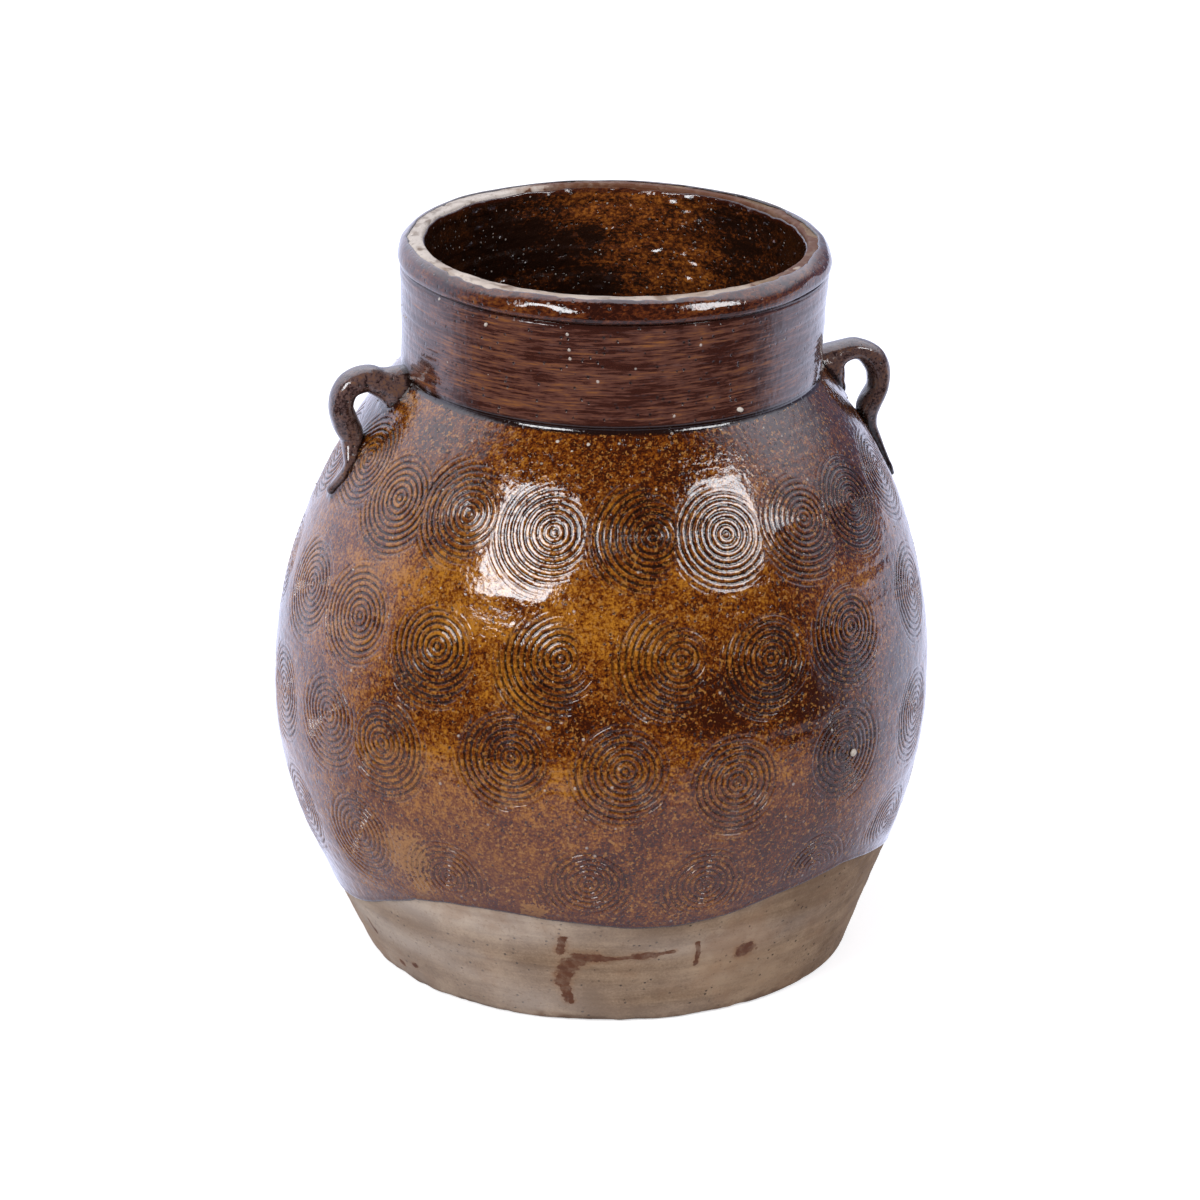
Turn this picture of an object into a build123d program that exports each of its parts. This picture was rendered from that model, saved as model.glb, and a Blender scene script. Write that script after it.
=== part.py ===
from build123d import *

import os
from math import acos, atan2, cos, hypot, radians, sin, sqrt

# A wide-mouthed stoneware storage jar with a brown glaze, two cord lugs on its shoulder
# and a bare foot. All sizes are in millimetres. Z points up, the foot stands on Z = 0,
# and the two lugs stand on the X axis.

# Body: the outer line of the clay wall
foot_radius = 106.8
belly_radius = 143.2
belly_height = 124.0
shoulder_rise = 139.0
heel_round = 2.4
# The lower wall's arc, as a share of the arc that would run straight down to the foot
lower_arc_share = 0.7977

# Clay walls
wall_thickness = 8.0
base_thickness = 11.0
floor_corner_round = 16.0
underside_recess_radius = 84.0
underside_recess_depth = 1.5

# The slab's rebate, where the first coil of the wall beds
slab_rebate_depth = 3.5

# Coils of the wall, and the fall of each bevelled joint across the wall
coil_count = 5
joint_fall = 3.0

# Neck collar, from the groove at its root to the bead groove under the rim
mouth_radius = 82.5
neck_thickness = 7.9
neck_length = 46.4
neck_flare = 1.4
root_groove_depth = 1.2
root_groove_height = 2.6
bead_groove_depth = 0.9
bead_groove_half_height = 1.3

# Rolled rim
rim_height = 10.6
roll_stand = 0.9
roll_side_rise = 4.2
lip_crest_width = 3.0
lip_inner_round = 1.2
bare_lip_width = 6.4

# Glaze coats
outer_glaze_thickness = 0.6
inner_glaze_thickness = 0.5

# The dipped glaze line on the lower wall: its mean height, and its waves.
# Each wave is its number round the jar, its height and its first crest, in degrees from +X.
glaze_line_height = 50.7
first_wave_height = 5.9
second_wave_height = 5.5
third_wave_height = 1.7
fourth_wave_height = 4.1
fifth_wave_height = 3.1
glaze_waves = [
    (1, first_wave_height, -48.0),
    (2, second_wave_height, -86.0),
    (3, third_wave_height, -2.0),
    (4, fourth_wave_height, 43.0),
    (5, fifth_wave_height, 12.0),
]
wave_grid_steps = 28

# Lugs: a thick pulled strap, rooted on the neck and shoulder, with a tail pressed down.
# The strap's reach runs from the neck's foot to its overhang beyond the wall at the pinch.
lug_overhang = 16.1
lug_loop_height = 35.1
lug_pinch_drop = 27.5
lug_tail_length = 28.0
lug_strap_thickness = 9.4
lug_strap_width = 12.8
# The strap's middle, from its root to its pinch: out by shares of that reach and up by
# shares of its loop's height, then its thickness and its width as shares of its own
lug_loop_shares = [
    (-0.20, 0.40, 2.75, 1.50),
    (0.090, 0.510, 2.65, 1.48),
    (0.285, 0.640, 2.30, 1.32),
    (0.440, 0.800, 1.42, 1.14),
    (0.610, 0.855, 1.00, 1.02),
    (0.785, 0.750, 0.98, 1.00),
    (0.866, 0.520, 1.00, 1.00),
    (0.848, 0.280, 1.00, 0.97),
    (0.755, 0.045, 0.92, 0.87),
]
# The tail: down by shares of its length, the height of its middle off the wall by shares
# of the strap's thickness, then its thickness and its width as shares of the strap's
lug_tail_shares = [
    (0.20, 0.28, 0.84, 0.76),
    (0.48, 0.15, 0.74, 0.64),
    (0.78, 0.11, 0.58, 0.52),
    (1.00, 0.07, 0.38, 0.36),
]

# Grains of kiln grit fused in the glaze. Each has its azimuth in degrees from +X, its
# height on the wall as a share of the neck root's height, and its radius.
belly_grain_radius = 2.0
shoulder_grain_radius = 1.5
small_grain_radius = 1.1
grain_shares = [
    (-58.5, 0.458, belly_grain_radius),
    (-67.6, 0.975, shoulder_grain_radius),
    (-115.0, 0.570, small_grain_radius),
]
grain_sides = 5
grain_top_share = 0.55

# How far a cutting shape runs past what it cuts
overrun = 5.0

# Heights and radii that follow from the sizes above
neck_root_height = belly_height + shoulder_rise
bead_height = neck_root_height + neck_length
jar_height = bead_height + rim_height
roll_side_height = bead_height + roll_side_rise
neck_foot_radius = mouth_radius + neck_thickness
neck_root_radius = neck_foot_radius - root_groove_depth
neck_top_radius = neck_foot_radius + neck_flare
roll_radius = neck_top_radius + roll_stand
beyond_wall = belly_radius + overrun
beyond_rim = jar_height + overrun

# The two arcs of the wall's outer line, both upright at the belly
foot_inset = belly_radius - foot_radius
lower_arc_radius = lower_arc_share * (foot_inset**2 + belly_height**2) / (2 * foot_inset)
lower_arc_x = belly_radius - lower_arc_radius
shoulder_inset = belly_radius - neck_root_radius
shoulder_arc_radius = (shoulder_inset**2 + shoulder_rise**2) / (2 * shoulder_inset)
shoulder_arc_x = belly_radius - shoulder_arc_radius

# The straight lower wall runs from the foot and touches the lower arc at this angle
foot_to_centre = hypot(foot_radius - lower_arc_x, belly_height)
touch_angle = atan2(-belly_height, foot_radius - lower_arc_x) + acos(lower_arc_radius / foot_to_centre)


def on_lower_arc(angle, out=0.0):
    """The point of the lower arc at an angle, moved out from the wall."""
    reach = lower_arc_radius + out
    return (lower_arc_x + reach * cos(angle), belly_height + reach * sin(angle))


def on_lower_wall(height, out=0.0):
    """The point at a height on the straight lower wall, moved out from it."""
    touch_x, touch_z = on_lower_arc(touch_angle)
    lean = (touch_x - foot_radius) / touch_z
    top_x, top_z = on_lower_arc(touch_angle, out)
    return (top_x - lean * (top_z - height), height)


def wall_radius(height, out=0.0):
    """The wall's outer radius at any height up to the neck, moved out from the wall."""
    if height < on_lower_arc(touch_angle, out)[1]:
        return on_lower_wall(height, out)[0]
    if height < belly_height:
        reach = lower_arc_radius + out
        return lower_arc_x + sqrt(reach**2 - (belly_height - height) ** 2)
    reach = shoulder_arc_radius + out
    return shoulder_arc_x + sqrt(reach**2 - (height - belly_height) ** 2)


def height_on_shoulder(radius, out=0.0):
    """The height at which the shoulder's arc has a radius, moved out from the wall."""
    reach = shoulder_arc_radius + out
    return belly_height + sqrt(reach**2 - (radius - shoulder_arc_x) ** 2)


def wall_edges(start, out, top_x, top_z):
    """The wall's line from a low point to a point on the shoulder arc."""
    touch = on_lower_arc(touch_angle, out)
    belly = (belly_radius + out, belly_height)
    half_turn = atan2(top_z - belly_height, top_x - shoulder_arc_x) / 2
    reach = shoulder_arc_radius + out
    middle = (shoulder_arc_x + reach * cos(half_turn), belly_height + reach * sin(half_turn))
    return [
        Line(start, touch),
        ThreePointArc(touch, on_lower_arc(touch_angle / 2, out), belly),
        ThreePointArc(belly, middle, (top_x, top_z)),
    ]


def outline(points):
    """A closed flat face with straight sides."""
    return make_face(Polyline(*points, close=True))


def corner(face, x, z):
    """The vertex of a flat face nearest to a place."""
    return face.vertices().sort_by_distance((x, z))[0]


def filled_section(out=0.0):
    """Half of the jar's section without its hollow, with its outer line moved out by a coat."""
    root_z = neck_root_height + out / 3
    root = (wall_radius(root_z, out), root_z)
    lip_crest = (mouth_radius + lip_crest_width, jar_height + out)
    roll_side = (roll_radius + out, roll_side_height)
    roll_foot = (neck_top_radius + out, bead_height + bead_groove_half_height)
    groove = (neck_top_radius - bead_groove_depth + out, bead_height)
    neck_top = (neck_top_radius + out, bead_height - bead_groove_half_height)
    neck_foot = (neck_foot_radius + out, neck_root_height + root_groove_height)
    foot = on_lower_wall(0, out)
    face = make_face(
        [
            Line((0, 0), foot),
            *wall_edges(foot, out, *root),
            Line(root, neck_foot),
            Line(neck_foot, neck_top),
            Line(neck_top, groove),
            Line(groove, roll_foot),
            Line(roll_foot, roll_side),
            TangentArc(lip_crest, roll_side, tangent=(1, 0)),
            Line(lip_crest, (0, jar_height + out)),
            Line((0, jar_height + out), (0, 0)),
        ]
    )
    return fillet(corner(face, *foot), heel_round + out)


def hollow_section(inset=0.0):
    """Half of the jar's hollow, drawn in from the clay by an inset."""
    out = -wall_thickness - inset
    neck_x = mouth_radius - inset
    shoulder_z = height_on_shoulder(neck_x, out)
    floor_z = base_thickness + inset
    floor_edge = on_lower_wall(floor_z, out)
    face = make_face(
        [
            Line((0, floor_z), floor_edge),
            *wall_edges(floor_edge, out, neck_x, shoulder_z),
            Line((neck_x, shoulder_z), (neck_x, beyond_rim)),
            Line((neck_x, beyond_rim), (0, beyond_rim)),
            Line((0, beyond_rim), (0, floor_z)),
        ]
    )
    return fillet(corner(face, *floor_edge), floor_corner_round - inset)


def turned(face):
    """A flat section turned full circle about the jar's axis, from a seam clear of the lugs."""
    return revolve(Plane.YZ * face, Axis.Z)


def joint_line(height):
    """The two ends of a bevelled joint through the wall, which falls towards the inside."""
    middle = wall_radius(height) - wall_thickness / 2
    slope = joint_fall / wall_thickness
    return (0, height - slope * middle), (beyond_wall, height + slope * (beyond_wall - middle))


def joint_lines():
    """The joints above the slab: those between the coils, then the neck's seat on the top one."""
    rise = (neck_root_height - base_thickness) / coil_count
    lines = [joint_line(base_thickness + rise * number) for number in range(1, coil_count)]
    seat_z = height_on_shoulder(mouth_radius, -wall_thickness)
    slope = (neck_root_height - seat_z) / (neck_root_radius - mouth_radius)
    seat_end = neck_root_height + slope * (beyond_wall - neck_root_radius)
    return lines + [((0, seat_z - slope * mouth_radius), (beyond_wall, seat_end))]


def clay_section():
    """Half of the section of all the turned clay, with the lip's inner edge eased."""
    face = filled_section() - hollow_section()
    recess = outline(
        [
            (0, -overrun),
            (underside_recess_radius, -overrun),
            (underside_recess_radius, 0),
            (0, underside_recess_depth),
        ]
    )
    face = face - recess
    return fillet(corner(face, mouth_radius, jar_height), lip_inner_round)


def clay_pieces():
    """The turned clay, cut at its joints into slab, coils, collar and rim roll."""
    clay = clay_section()
    slab_edge = on_lower_wall(base_thickness, -wall_thickness)[0] - floor_corner_round
    slab_top = base_thickness - slab_rebate_depth
    floor_top = base_thickness + overrun
    slab = outline(
        [
            (0, -overrun),
            (beyond_wall, -overrun),
            (beyond_wall, slab_top),
            (slab_edge, slab_top),
            (slab_edge, floor_top),
            (0, floor_top),
        ]
    )
    above_slab = clay - slab
    pieces = {"base_slab": clay & slab}
    below = [(0, -overrun), (beyond_wall, -overrun)]
    for number, line in enumerate(joint_lines(), start=1):
        band = outline([below[0], below[1], line[1], line[0]])
        pieces[f"wall_coil_{number}"] = above_slab & band
        below = line
    top_edge = [(beyond_wall, beyond_rim), (0, beyond_rim)]
    above_coils = above_slab & outline([below[0], below[1], *top_edge])
    above_bead = outline([(0, bead_height), (beyond_wall, bead_height), *top_edge])
    pieces["neck_collar"] = above_coils - above_bead
    pieces["rim_roll"] = above_coils & above_bead
    return {name: turned(face) for name, face in pieces.items()}


def below_glaze_line():
    """A solid whose wavy top follows the line to which the jar was dipped."""
    line_radius = wall_radius(glaze_line_height)
    grid = []
    for row in range(wave_grid_steps + 1):
        y = beyond_wall * (2 * row / wave_grid_steps - 1)
        line = []
        for column in range(wave_grid_steps + 1):
            x = beyond_wall * (2 * column / wave_grid_steps - 1)
            share = hypot(x, y) / line_radius
            turn = atan2(y, x)
            z = glaze_line_height
            for number, height, crest in glaze_waves:
                z += height * share**number * cos(number * (turn - radians(crest)))
            line.append((x, y, z))
        grid.append(line)
    surface = Face.make_surface_from_array_of_points(grid, min_deg=3, max_deg=3)
    return extrude(surface, jar_height, dir=(0, 0, -1))


def lug_stations():
    """The places along a lug's middle line, with the strap's thickness and width at each."""
    pinch_height = neck_root_height - lug_pinch_drop
    reach = wall_radius(pinch_height) + lug_overhang - neck_foot_radius
    stations = []
    for out_share, up_share, thick_share, wide_share in lug_loop_shares:
        x = neck_foot_radius + out_share * reach
        z = pinch_height + up_share * lug_loop_height
        stations.append((x, z, thick_share * lug_strap_thickness, wide_share * lug_strap_width))
    for down_share, off_share, thick_share, wide_share in lug_tail_shares:
        z = pinch_height - down_share * lug_tail_length
        x = wall_radius(z) + off_share * lug_strap_thickness
        stations.append((x, z, thick_share * lug_strap_thickness, wide_share * lug_strap_width))
    return stations


def lug_strap(grown=0.0):
    """The whole strap of the lug on +X, with its root still inside the wall."""
    stations = lug_stations()
    sections = []
    for number, (x, z, thick, wide) in enumerate(stations):
        before = stations[max(number - 1, 0)]
        after = stations[min(number + 1, len(stations) - 1)]
        along = (after[0] - before[0], 0, after[1] - before[1])
        plane = Plane(origin=(x, 0, z), x_dir=(0, 1, 0), z_dir=along)
        sections.append(plane * Ellipse(wide / 2 + grown, thick / 2 + grown))
    return loft(sections)


def grit_grain(azimuth, height_share, radius):
    """An angular grain of grit, seated through the glaze on the wall and pointing out from it."""
    turn = radians(azimuth)
    height = height_share * neck_root_height
    reach = wall_radius(height) - radius / 4
    seat = Plane(origin=(reach * cos(turn), reach * sin(turn), height), z_dir=(cos(turn), sin(turn), 0))
    top = seat.offset(outer_glaze_thickness + radius)
    foot_face = seat * RegularPolygon(radius, grain_sides)
    top_face = top * RegularPolygon(grain_top_share * radius, grain_sides)
    return loft([foot_face.face(), top_face.face()], ruled=True)


def outer_coat():
    """The outer glaze before it is cut at the glaze line: from the foot up over the rim roll."""
    bare_lip = outline(
        [
            (0, roll_side_height),
            (mouth_radius + bare_lip_width, roll_side_height),
            (mouth_radius + bare_lip_width, beyond_rim),
            (0, beyond_rim),
        ]
    )
    return turned(filled_section(outer_glaze_thickness) - filled_section() - bare_lip)


def inner_coat():
    """The glaze of the hollow, up to where the lip's inner edge begins to turn over."""
    below_lip = jar_height - lip_inner_round
    coat = hollow_section() - hollow_section(inner_glaze_thickness)
    return turned(coat & outline([(0, 0), (beyond_wall, 0), (beyond_wall, below_lip), (0, below_lip)]))


def build():
    """Makes every piece of the jar, by the name of its node."""
    pieces = clay_pieces()
    pieces["inner_glaze"] = inner_coat()
    filled = turned(filled_section())
    coated = turned(filled_section(outer_glaze_thickness))

    strap = lug_strap()
    lug = strap - filled
    lug_coat = lug_strap(outer_glaze_thickness) - coated - strap
    pieces["right_lug"] = lug
    pieces["left_lug"] = lug.rotate(Axis.Z, 180)
    pieces["right_lug_glaze"] = lug_coat
    pieces["left_lug_glaze"] = lug_coat.rotate(Axis.Z, 180)

    glaze = outer_coat()
    grains = [grit_grain(*share) for share in grain_shares]
    for grain in grains:
        glaze = glaze - grain
    glaze = glaze - strap - strap.rotate(Axis.Z, 180) - below_glaze_line()
    pieces["outer_glaze"] = glaze
    pieces["kiln_grit"] = Compound(children=[grain - filled for grain in grains])
    return pieces


os.makedirs("parts", exist_ok=True)
for name, piece in build().items():
    export_step(piece, f"parts/{name}.step")
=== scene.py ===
import logging
import math
from dataclasses import dataclass, field
from enum import Enum

import bpy
import numpy as np
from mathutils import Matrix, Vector, kdtree


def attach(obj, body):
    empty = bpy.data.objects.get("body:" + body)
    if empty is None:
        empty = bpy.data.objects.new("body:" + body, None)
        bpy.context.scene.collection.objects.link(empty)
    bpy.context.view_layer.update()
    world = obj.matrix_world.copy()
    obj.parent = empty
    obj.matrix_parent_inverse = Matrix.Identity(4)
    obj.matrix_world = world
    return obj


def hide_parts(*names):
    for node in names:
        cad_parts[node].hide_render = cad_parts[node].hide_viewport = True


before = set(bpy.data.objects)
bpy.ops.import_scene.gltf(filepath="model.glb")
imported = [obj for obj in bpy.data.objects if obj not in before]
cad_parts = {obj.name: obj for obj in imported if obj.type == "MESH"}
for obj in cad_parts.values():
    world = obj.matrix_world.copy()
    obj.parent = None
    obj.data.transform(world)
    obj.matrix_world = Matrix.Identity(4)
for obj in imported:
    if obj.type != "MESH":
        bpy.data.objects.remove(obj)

# A wide-mouthed stoneware storage jar: brown glaze over a buff body, rows of stamped
# rings, two cord lugs and a bare foot. The classes below hold their sizes in
# millimetres, and the meshes are made in metres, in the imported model's own frame.

log = logging.getLogger("storage_jar")

MM = 0.001
TURN = 2.0 * math.pi
QUARTER = math.pi / 2.0
# The azimuth on the jar that faces the camera, in degrees from +X
FRONT = -105.0
# The radius at which a surface that reaches the axis is closed
HUB = 1.5
NO_QUADS = np.zeros((0, 4), int)
NO_THREES = np.zeros((0, 3), int)

Array = np.ndarray
Socket = bpy.types.NodeSocket
Feed = Socket | float | tuple | str | bpy.types.ID
Given = bpy.types.bpy_prop_collection
Material = bpy.types.Material
Object = bpy.types.Object
Rows = tuple[tuple[float, ...], ...]
Sheet = tuple[Array, dict[str, Array]]


def ease(low: float, high: float, values: Array) -> Array:
    """Runs smoothly from 0 at low to 1 at high, which may be the smaller of the two."""
    share = np.clip((np.asarray(values, float) - low) / (high - low), 0.0, 1.0)
    return share * share * (3.0 - 2.0 * share)


def bell(values: Array, wide: float) -> Array:
    """Is 1 at 0 and falls to nothing beyond a width."""
    return np.exp(-((values / wide) ** 2))


def turn_of(front: Array) -> Array:
    """The azimuth in radians from +X of a direction given in degrees from the front."""
    return np.radians(np.asarray(front, float) + FRONT)


def turn_from(turn: Array, front: float) -> Array:
    """How far azimuths lie past a direction given in degrees from the front, in radians."""
    return np.mod(turn - turn_of(front) + math.pi, TURN) - math.pi


def towards(turn: Array, front: float) -> Array:
    """How far azimuths point in a direction given in degrees from the front, from -1 to 1."""
    return np.cos(turn - turn_of(front))


def around(count: int) -> Array:
    """One row of evenly spaced azimuths of a full turn, in radians."""
    return np.arange(count)[None, :] * (TURN / count)


def polar(radius: Array, turn: Array, height: Array) -> Array:
    """Points at radii, azimuths and heights."""
    radius, turn, height = np.broadcast_arrays(radius, turn, height)
    return np.stack([radius * np.cos(turn), radius * np.sin(turn), height], -1)


def unit(vectors: Array) -> Array:
    """Vectors of length one in the same directions."""
    return vectors / np.maximum(np.linalg.norm(vectors, axis=-1, keepdims=True), 1e-12)


def run_along(line: Array) -> Array:
    """The distance along a flat line at each of its points."""
    return np.concatenate([[0.0], np.cumsum(np.hypot(*np.diff(line, axis=0).T))])


def level(start: float, end: float, height: float, count: int) -> Array:
    """Points of a section from one radius to another, at one height."""
    return np.stack([np.linspace(start, end, count), np.full(count, height)], -1)


def upright(radius: float, low: float, high: float, count: int) -> Array:
    """Points of a section from one height to another, at one radius."""
    return np.stack([np.full(count, radius), np.linspace(low, high, count)], -1)


def arc(middle: tuple[float, float], reach: float, start: float, end: float, count: int) -> Array:
    """Points of a section round a middle, at angles from straight up and turning outwards."""
    angles = np.linspace(start, end, count)
    return np.array(middle) + reach * np.stack([np.sin(angles), np.cos(angles)], -1)


@dataclass(frozen=True)
class Waves:
    """Smooth random waves over the wall, which meet after a full turn."""

    seed: int
    cells_round: int
    cell_height: float
    layers: int = 3

    def at(self, turn: Array, height: Array = 0.0) -> Array:
        """The waves' height at places on the wall.

        Args:
            turn: Azimuths in radians.
            height: Heights in millimetres.

        Returns:
            Values from about -1 to 1, in the shape of both put together.
        """
        rows = 512
        turn, height = np.broadcast_arrays(turn, height)
        total, weights = np.zeros(turn.shape), 0.0
        for layer in range(self.layers):
            count, weight = self.cells_round * 2**layer, 0.55**layer
            lattice = np.random.default_rng(self.seed * 100 + layer).uniform(-1.0, 1.0, (rows, count))
            column = (turn / TURN * count) % count
            row = height / self.cell_height * 2**layer + 64.0
            left, low = np.floor(column).astype(int), np.floor(row).astype(int)
            across, up = ease(0.0, 1.0, column - left), ease(0.0, 1.0, row - low)
            right = (left + 1) % count
            left, low = left % count, low % rows
            high = (low + 1) % rows
            bottom = lattice[low, left] * (1.0 - across) + lattice[low, right] * across
            top = lattice[high, left] * (1.0 - across) + lattice[high, right] * across
            total += weight * (bottom * (1.0 - up) + top * up)
            weights += weight
        return 1.6 * total / weights


@dataclass(frozen=True)
class JarShape:
    """The jar's outline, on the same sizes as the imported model."""

    foot_radius: float = 106.8
    belly_radius: float = 143.2
    belly_height: float = 124.0
    shoulder_rise: float = 139.0
    lower_arc_share: float = 0.7977
    heel_round: float = 2.4
    wall: float = 8.0
    base: float = 11.0
    floor_round: float = 16.0
    recess_radius: float = 84.0
    recess_depth: float = 1.5
    rebate: float = 3.5
    coils: int = 5
    joint_fall: float = 3.0
    mouth_radius: float = 82.5
    neck_wall: float = 7.9
    neck_length: float = 46.4
    neck_flare: float = 1.4
    neck_hollow: float = 0.45
    root_groove: float = 1.2
    rim_height: float = 10.6
    roll_reach: float = 7.25
    lip_crest: float = 3.0
    lip_round: float = 1.2
    coat: float = 0.6
    inner_coat: float = 0.5

    @property
    def root_height(self) -> float:
        """The height of the groove at the neck's root."""
        return self.belly_height + self.shoulder_rise

    @property
    def bead_height(self) -> float:
        """The height of the groove under the rolled rim."""
        return self.root_height + self.neck_length

    @property
    def height(self) -> float:
        """The jar's height."""
        return self.bead_height + self.rim_height

    @property
    def neck_foot(self) -> float:
        """The neck's radius just above its root."""
        return self.mouth_radius + self.neck_wall

    @property
    def seat_height(self) -> float:
        """The height at which the top coil's inner face meets the neck's."""
        centre, reach = self.belly_radius - self.shoulder_arc, self.shoulder_arc - self.wall
        return self.belly_height + math.sqrt(reach**2 - (self.mouth_radius - centre) ** 2)

    @property
    def lower_arc(self) -> float:
        """The radius of the arc under the belly."""
        inset = self.belly_radius - self.foot_radius
        return self.lower_arc_share * (inset**2 + self.belly_height**2) / (2.0 * inset)

    @property
    def shoulder_arc(self) -> float:
        """The radius of the arc over the belly."""
        inset = self.belly_radius - (self.neck_foot - self.root_groove)
        return (inset**2 + self.shoulder_rise**2) / (2.0 * inset)

    @property
    def slab_seat(self) -> float:
        """The radius at which the first coil meets the slab's top."""
        return float(self.wall_radius(self.base, -self.wall)) - self.floor_round

    @property
    def floor_edge(self) -> float:
        """The radius at which the flat floor turns up into the wall."""
        return float(self.wall_radius(self.base + self.floor_round, -self.wall)) - self.floor_round

    @property
    def roll_middle(self) -> tuple[float, float]:
        """The radius and height of the middle of the roll's arc."""
        return self.mouth_radius + self.lip_crest, self.height - self.roll_reach

    def floor_turn(self, end: float, count: int) -> Array:
        """The arc from the floor up into the wall, as far as an angle from straight up."""
        return arc((self.floor_edge, self.base + self.floor_round), self.floor_round, math.pi, end, count)

    def wall_radius(self, height: Array, out: float | Array = 0.0) -> Array:
        """The wall's radius at heights up to the neck.

        Args:
            height: Heights in millimetres.
            out: How far the line is moved out from the clay.

        Returns:
            The radii in millimetres.
        """
        height = np.asarray(height, float)
        low_centre = self.belly_radius - self.lower_arc
        reach = math.hypot(self.foot_radius - low_centre, self.belly_height)
        touch = math.atan2(-self.belly_height, self.foot_radius - low_centre)
        touch += math.acos(self.lower_arc / reach)
        touch_x = low_centre + self.lower_arc * math.cos(touch)
        touch_z = self.belly_height + self.lower_arc * math.sin(touch)
        lean = (touch_x - self.foot_radius) / touch_z
        top_x, top_z = touch_x + out * math.cos(touch), touch_z + out * math.sin(touch)
        straight = top_x - lean * (top_z - height)
        below = np.clip(self.belly_height - height, 0.0, None)
        low = low_centre + np.sqrt(np.clip((self.lower_arc + out) ** 2 - below**2, 1.0, None))
        above = np.clip(height - self.belly_height, 0.0, None)
        high_centre = self.belly_radius - self.shoulder_arc
        high = high_centre + np.sqrt(np.clip((self.shoulder_arc + out) ** 2 - above**2, 1.0, None))
        return np.where(height < top_z, straight, np.where(height < self.belly_height, low, high))

    def wall_line(self, low: float, high: float, count: int) -> Array:
        """Points of a section up the wall's inner face."""
        heights = np.linspace(low, high, count)
        return np.stack([self.wall_radius(heights, -self.wall), heights], -1)

    def neck_radius(self, height: Array) -> Array:
        """The neck's radius from its root to the groove under the roll.

        Args:
            height: Heights in millimetres.

        Returns:
            The radii in millimetres.
        """
        rise = np.clip((np.asarray(height, float) - self.root_height) / self.neck_length, 0.0, 1.0)
        line = self.neck_foot + self.neck_flare * rise - self.neck_hollow * np.sin(np.pi * rise)
        return line - self.root_groove * ease(2.4, 0.2, height - self.root_height)

    def heights_down(self, top: float, bottom: float, step: float) -> Array:
        """Heights on the wall, evenly spaced along its curve.

        Args:
            top: The first height.
            bottom: The last height.
            step: About how far apart they lie.

        Returns:
            The heights, going down.
        """
        fine = np.linspace(top, bottom, 2000)
        run = run_along(np.stack([fine, self.wall_radius(fine)], -1))
        count = max(2, round(run[-1] / step) + 1)
        return np.interp(np.linspace(0.0, run[-1], count), run, fine)


@dataclass(frozen=True)
class HandLean:
    """How a jar set by hand and fired leans and dips away from a true turned form."""

    heights: tuple[float, ...] = (0.0, 124.0, 263.0, 320.0)
    shifts: tuple[float, ...] = (-0.4, -3.2, 1.3, 3.1)
    dip: float = 0.02
    dip_from: float = 190.0
    dip_full: float = 265.0
    facing: float = -15.0
    clear_of_side: float = 85.0

    def aside(self) -> Array:
        """The level direction in which the jar leans, towards its right as seen from the front."""
        return polar(1.0, math.radians(self.facing), 0.0)

    def shift(self, height: Array) -> Array:
        """How far the jar's middle has moved aside at heights."""
        return np.polyval(np.polyfit(self.heights, self.shifts, 3), height)

    def moved(self, points: Array) -> Array:
        """Leans points of the true form.

        Args:
            points: Points in millimetres, in any shape that ends in three.

        Returns:
            The leaning points, in the same shape.
        """
        height = points[..., 2]
        along = points @ self.aside()
        result = points + self.shift(height)[..., None] * self.aside()
        result[..., 2] -= self.dip * along * ease(self.dip_from, self.dip_full, height)
        return result

    def true_place(self, front: float, height: float, radius: float) -> tuple[float, float]:
        """Undoes the lean for a place seen from the front.

        Args:
            front: The seen azimuth, in degrees from the front.
            height: The seen height.
            radius: The wall's radius there.

        Returns:
            The azimuth in degrees from the front and the height on the true form.
        """
        sine = math.sin(math.radians(front))
        dip = self.dip * radius * sine * float(ease(self.dip_from, self.dip_full, height))
        if abs(front) > self.clear_of_side:
            return front, height + dip
        moved = math.asin(max(-1.0, min(1.0, sine - float(self.shift(height)) / radius)))
        return math.degrees(moved), height + dip


@dataclass(frozen=True)
class HandSurface:
    """The small unevenness of the thrown wall, shared by the clay and its glaze."""

    broad: Waves = Waves(3, 5, 70.0, 2)
    small: Waves = Waves(4, 18, 16.0, 2)
    lines: Waves = Waves(5, 3, 3.4, 2)
    bumps: Waves = Waves(7, 210, 4.2, 3)
    ridges: Waves = Waves(11, 5, 5.2, 2)
    threads: Waves = Waves(12, 16, 1.5, 2)
    drag: Waves = Waves(13, 4, 2.6, 2)
    pits: Waves = Waves(14, 120, 7.0, 2)
    wear: Waves = Waves(15, 60, 14.0, 3)

    def wall(self, turn: Array, height: Array) -> Array:
        """How far the wall stands out from its true line, at azimuths and heights."""
        waves = 0.42 * self.broad.at(turn, height) + 0.16 * self.small.at(turn, height)
        return waves + 0.07 * self.lines.at(turn, height)

    def peel(self, turn: Array, height: Array) -> Array:
        """How far the fired glaze's own bumps stand out."""
        return 0.075 * self.bumps.at(turn, height)

    def neck(self, turn: Array, height: Array) -> Array:
        """How far the neck's throwing lines stand out from its true line."""
        lines = 0.12 * self.ridges.at(turn, height) + 0.075 * self.threads.at(turn, height)
        return 0.26 * self.broad.at(turn, height) + lines + 0.5 * self.peel(turn, height)

    def foot(self, turn: Array, height: Array) -> Array:
        """How far the bare foot's dragged lines and worn heel stand out from the wall.

        Args:
            turn: Azimuths in radians.
            height: Heights in millimetres.

        Returns:
            The distances in millimetres.
        """
        pits = np.clip(self.pits.at(turn, height) - 0.55, 0.0, 1.0)
        worn = np.clip(self.wear.at(turn, height), 0.0, 1.0) * ease(5.0, 0.0, height)
        return 0.12 * self.drag.at(turn, height) - 0.55 * pits - 1.1 * worn


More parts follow.
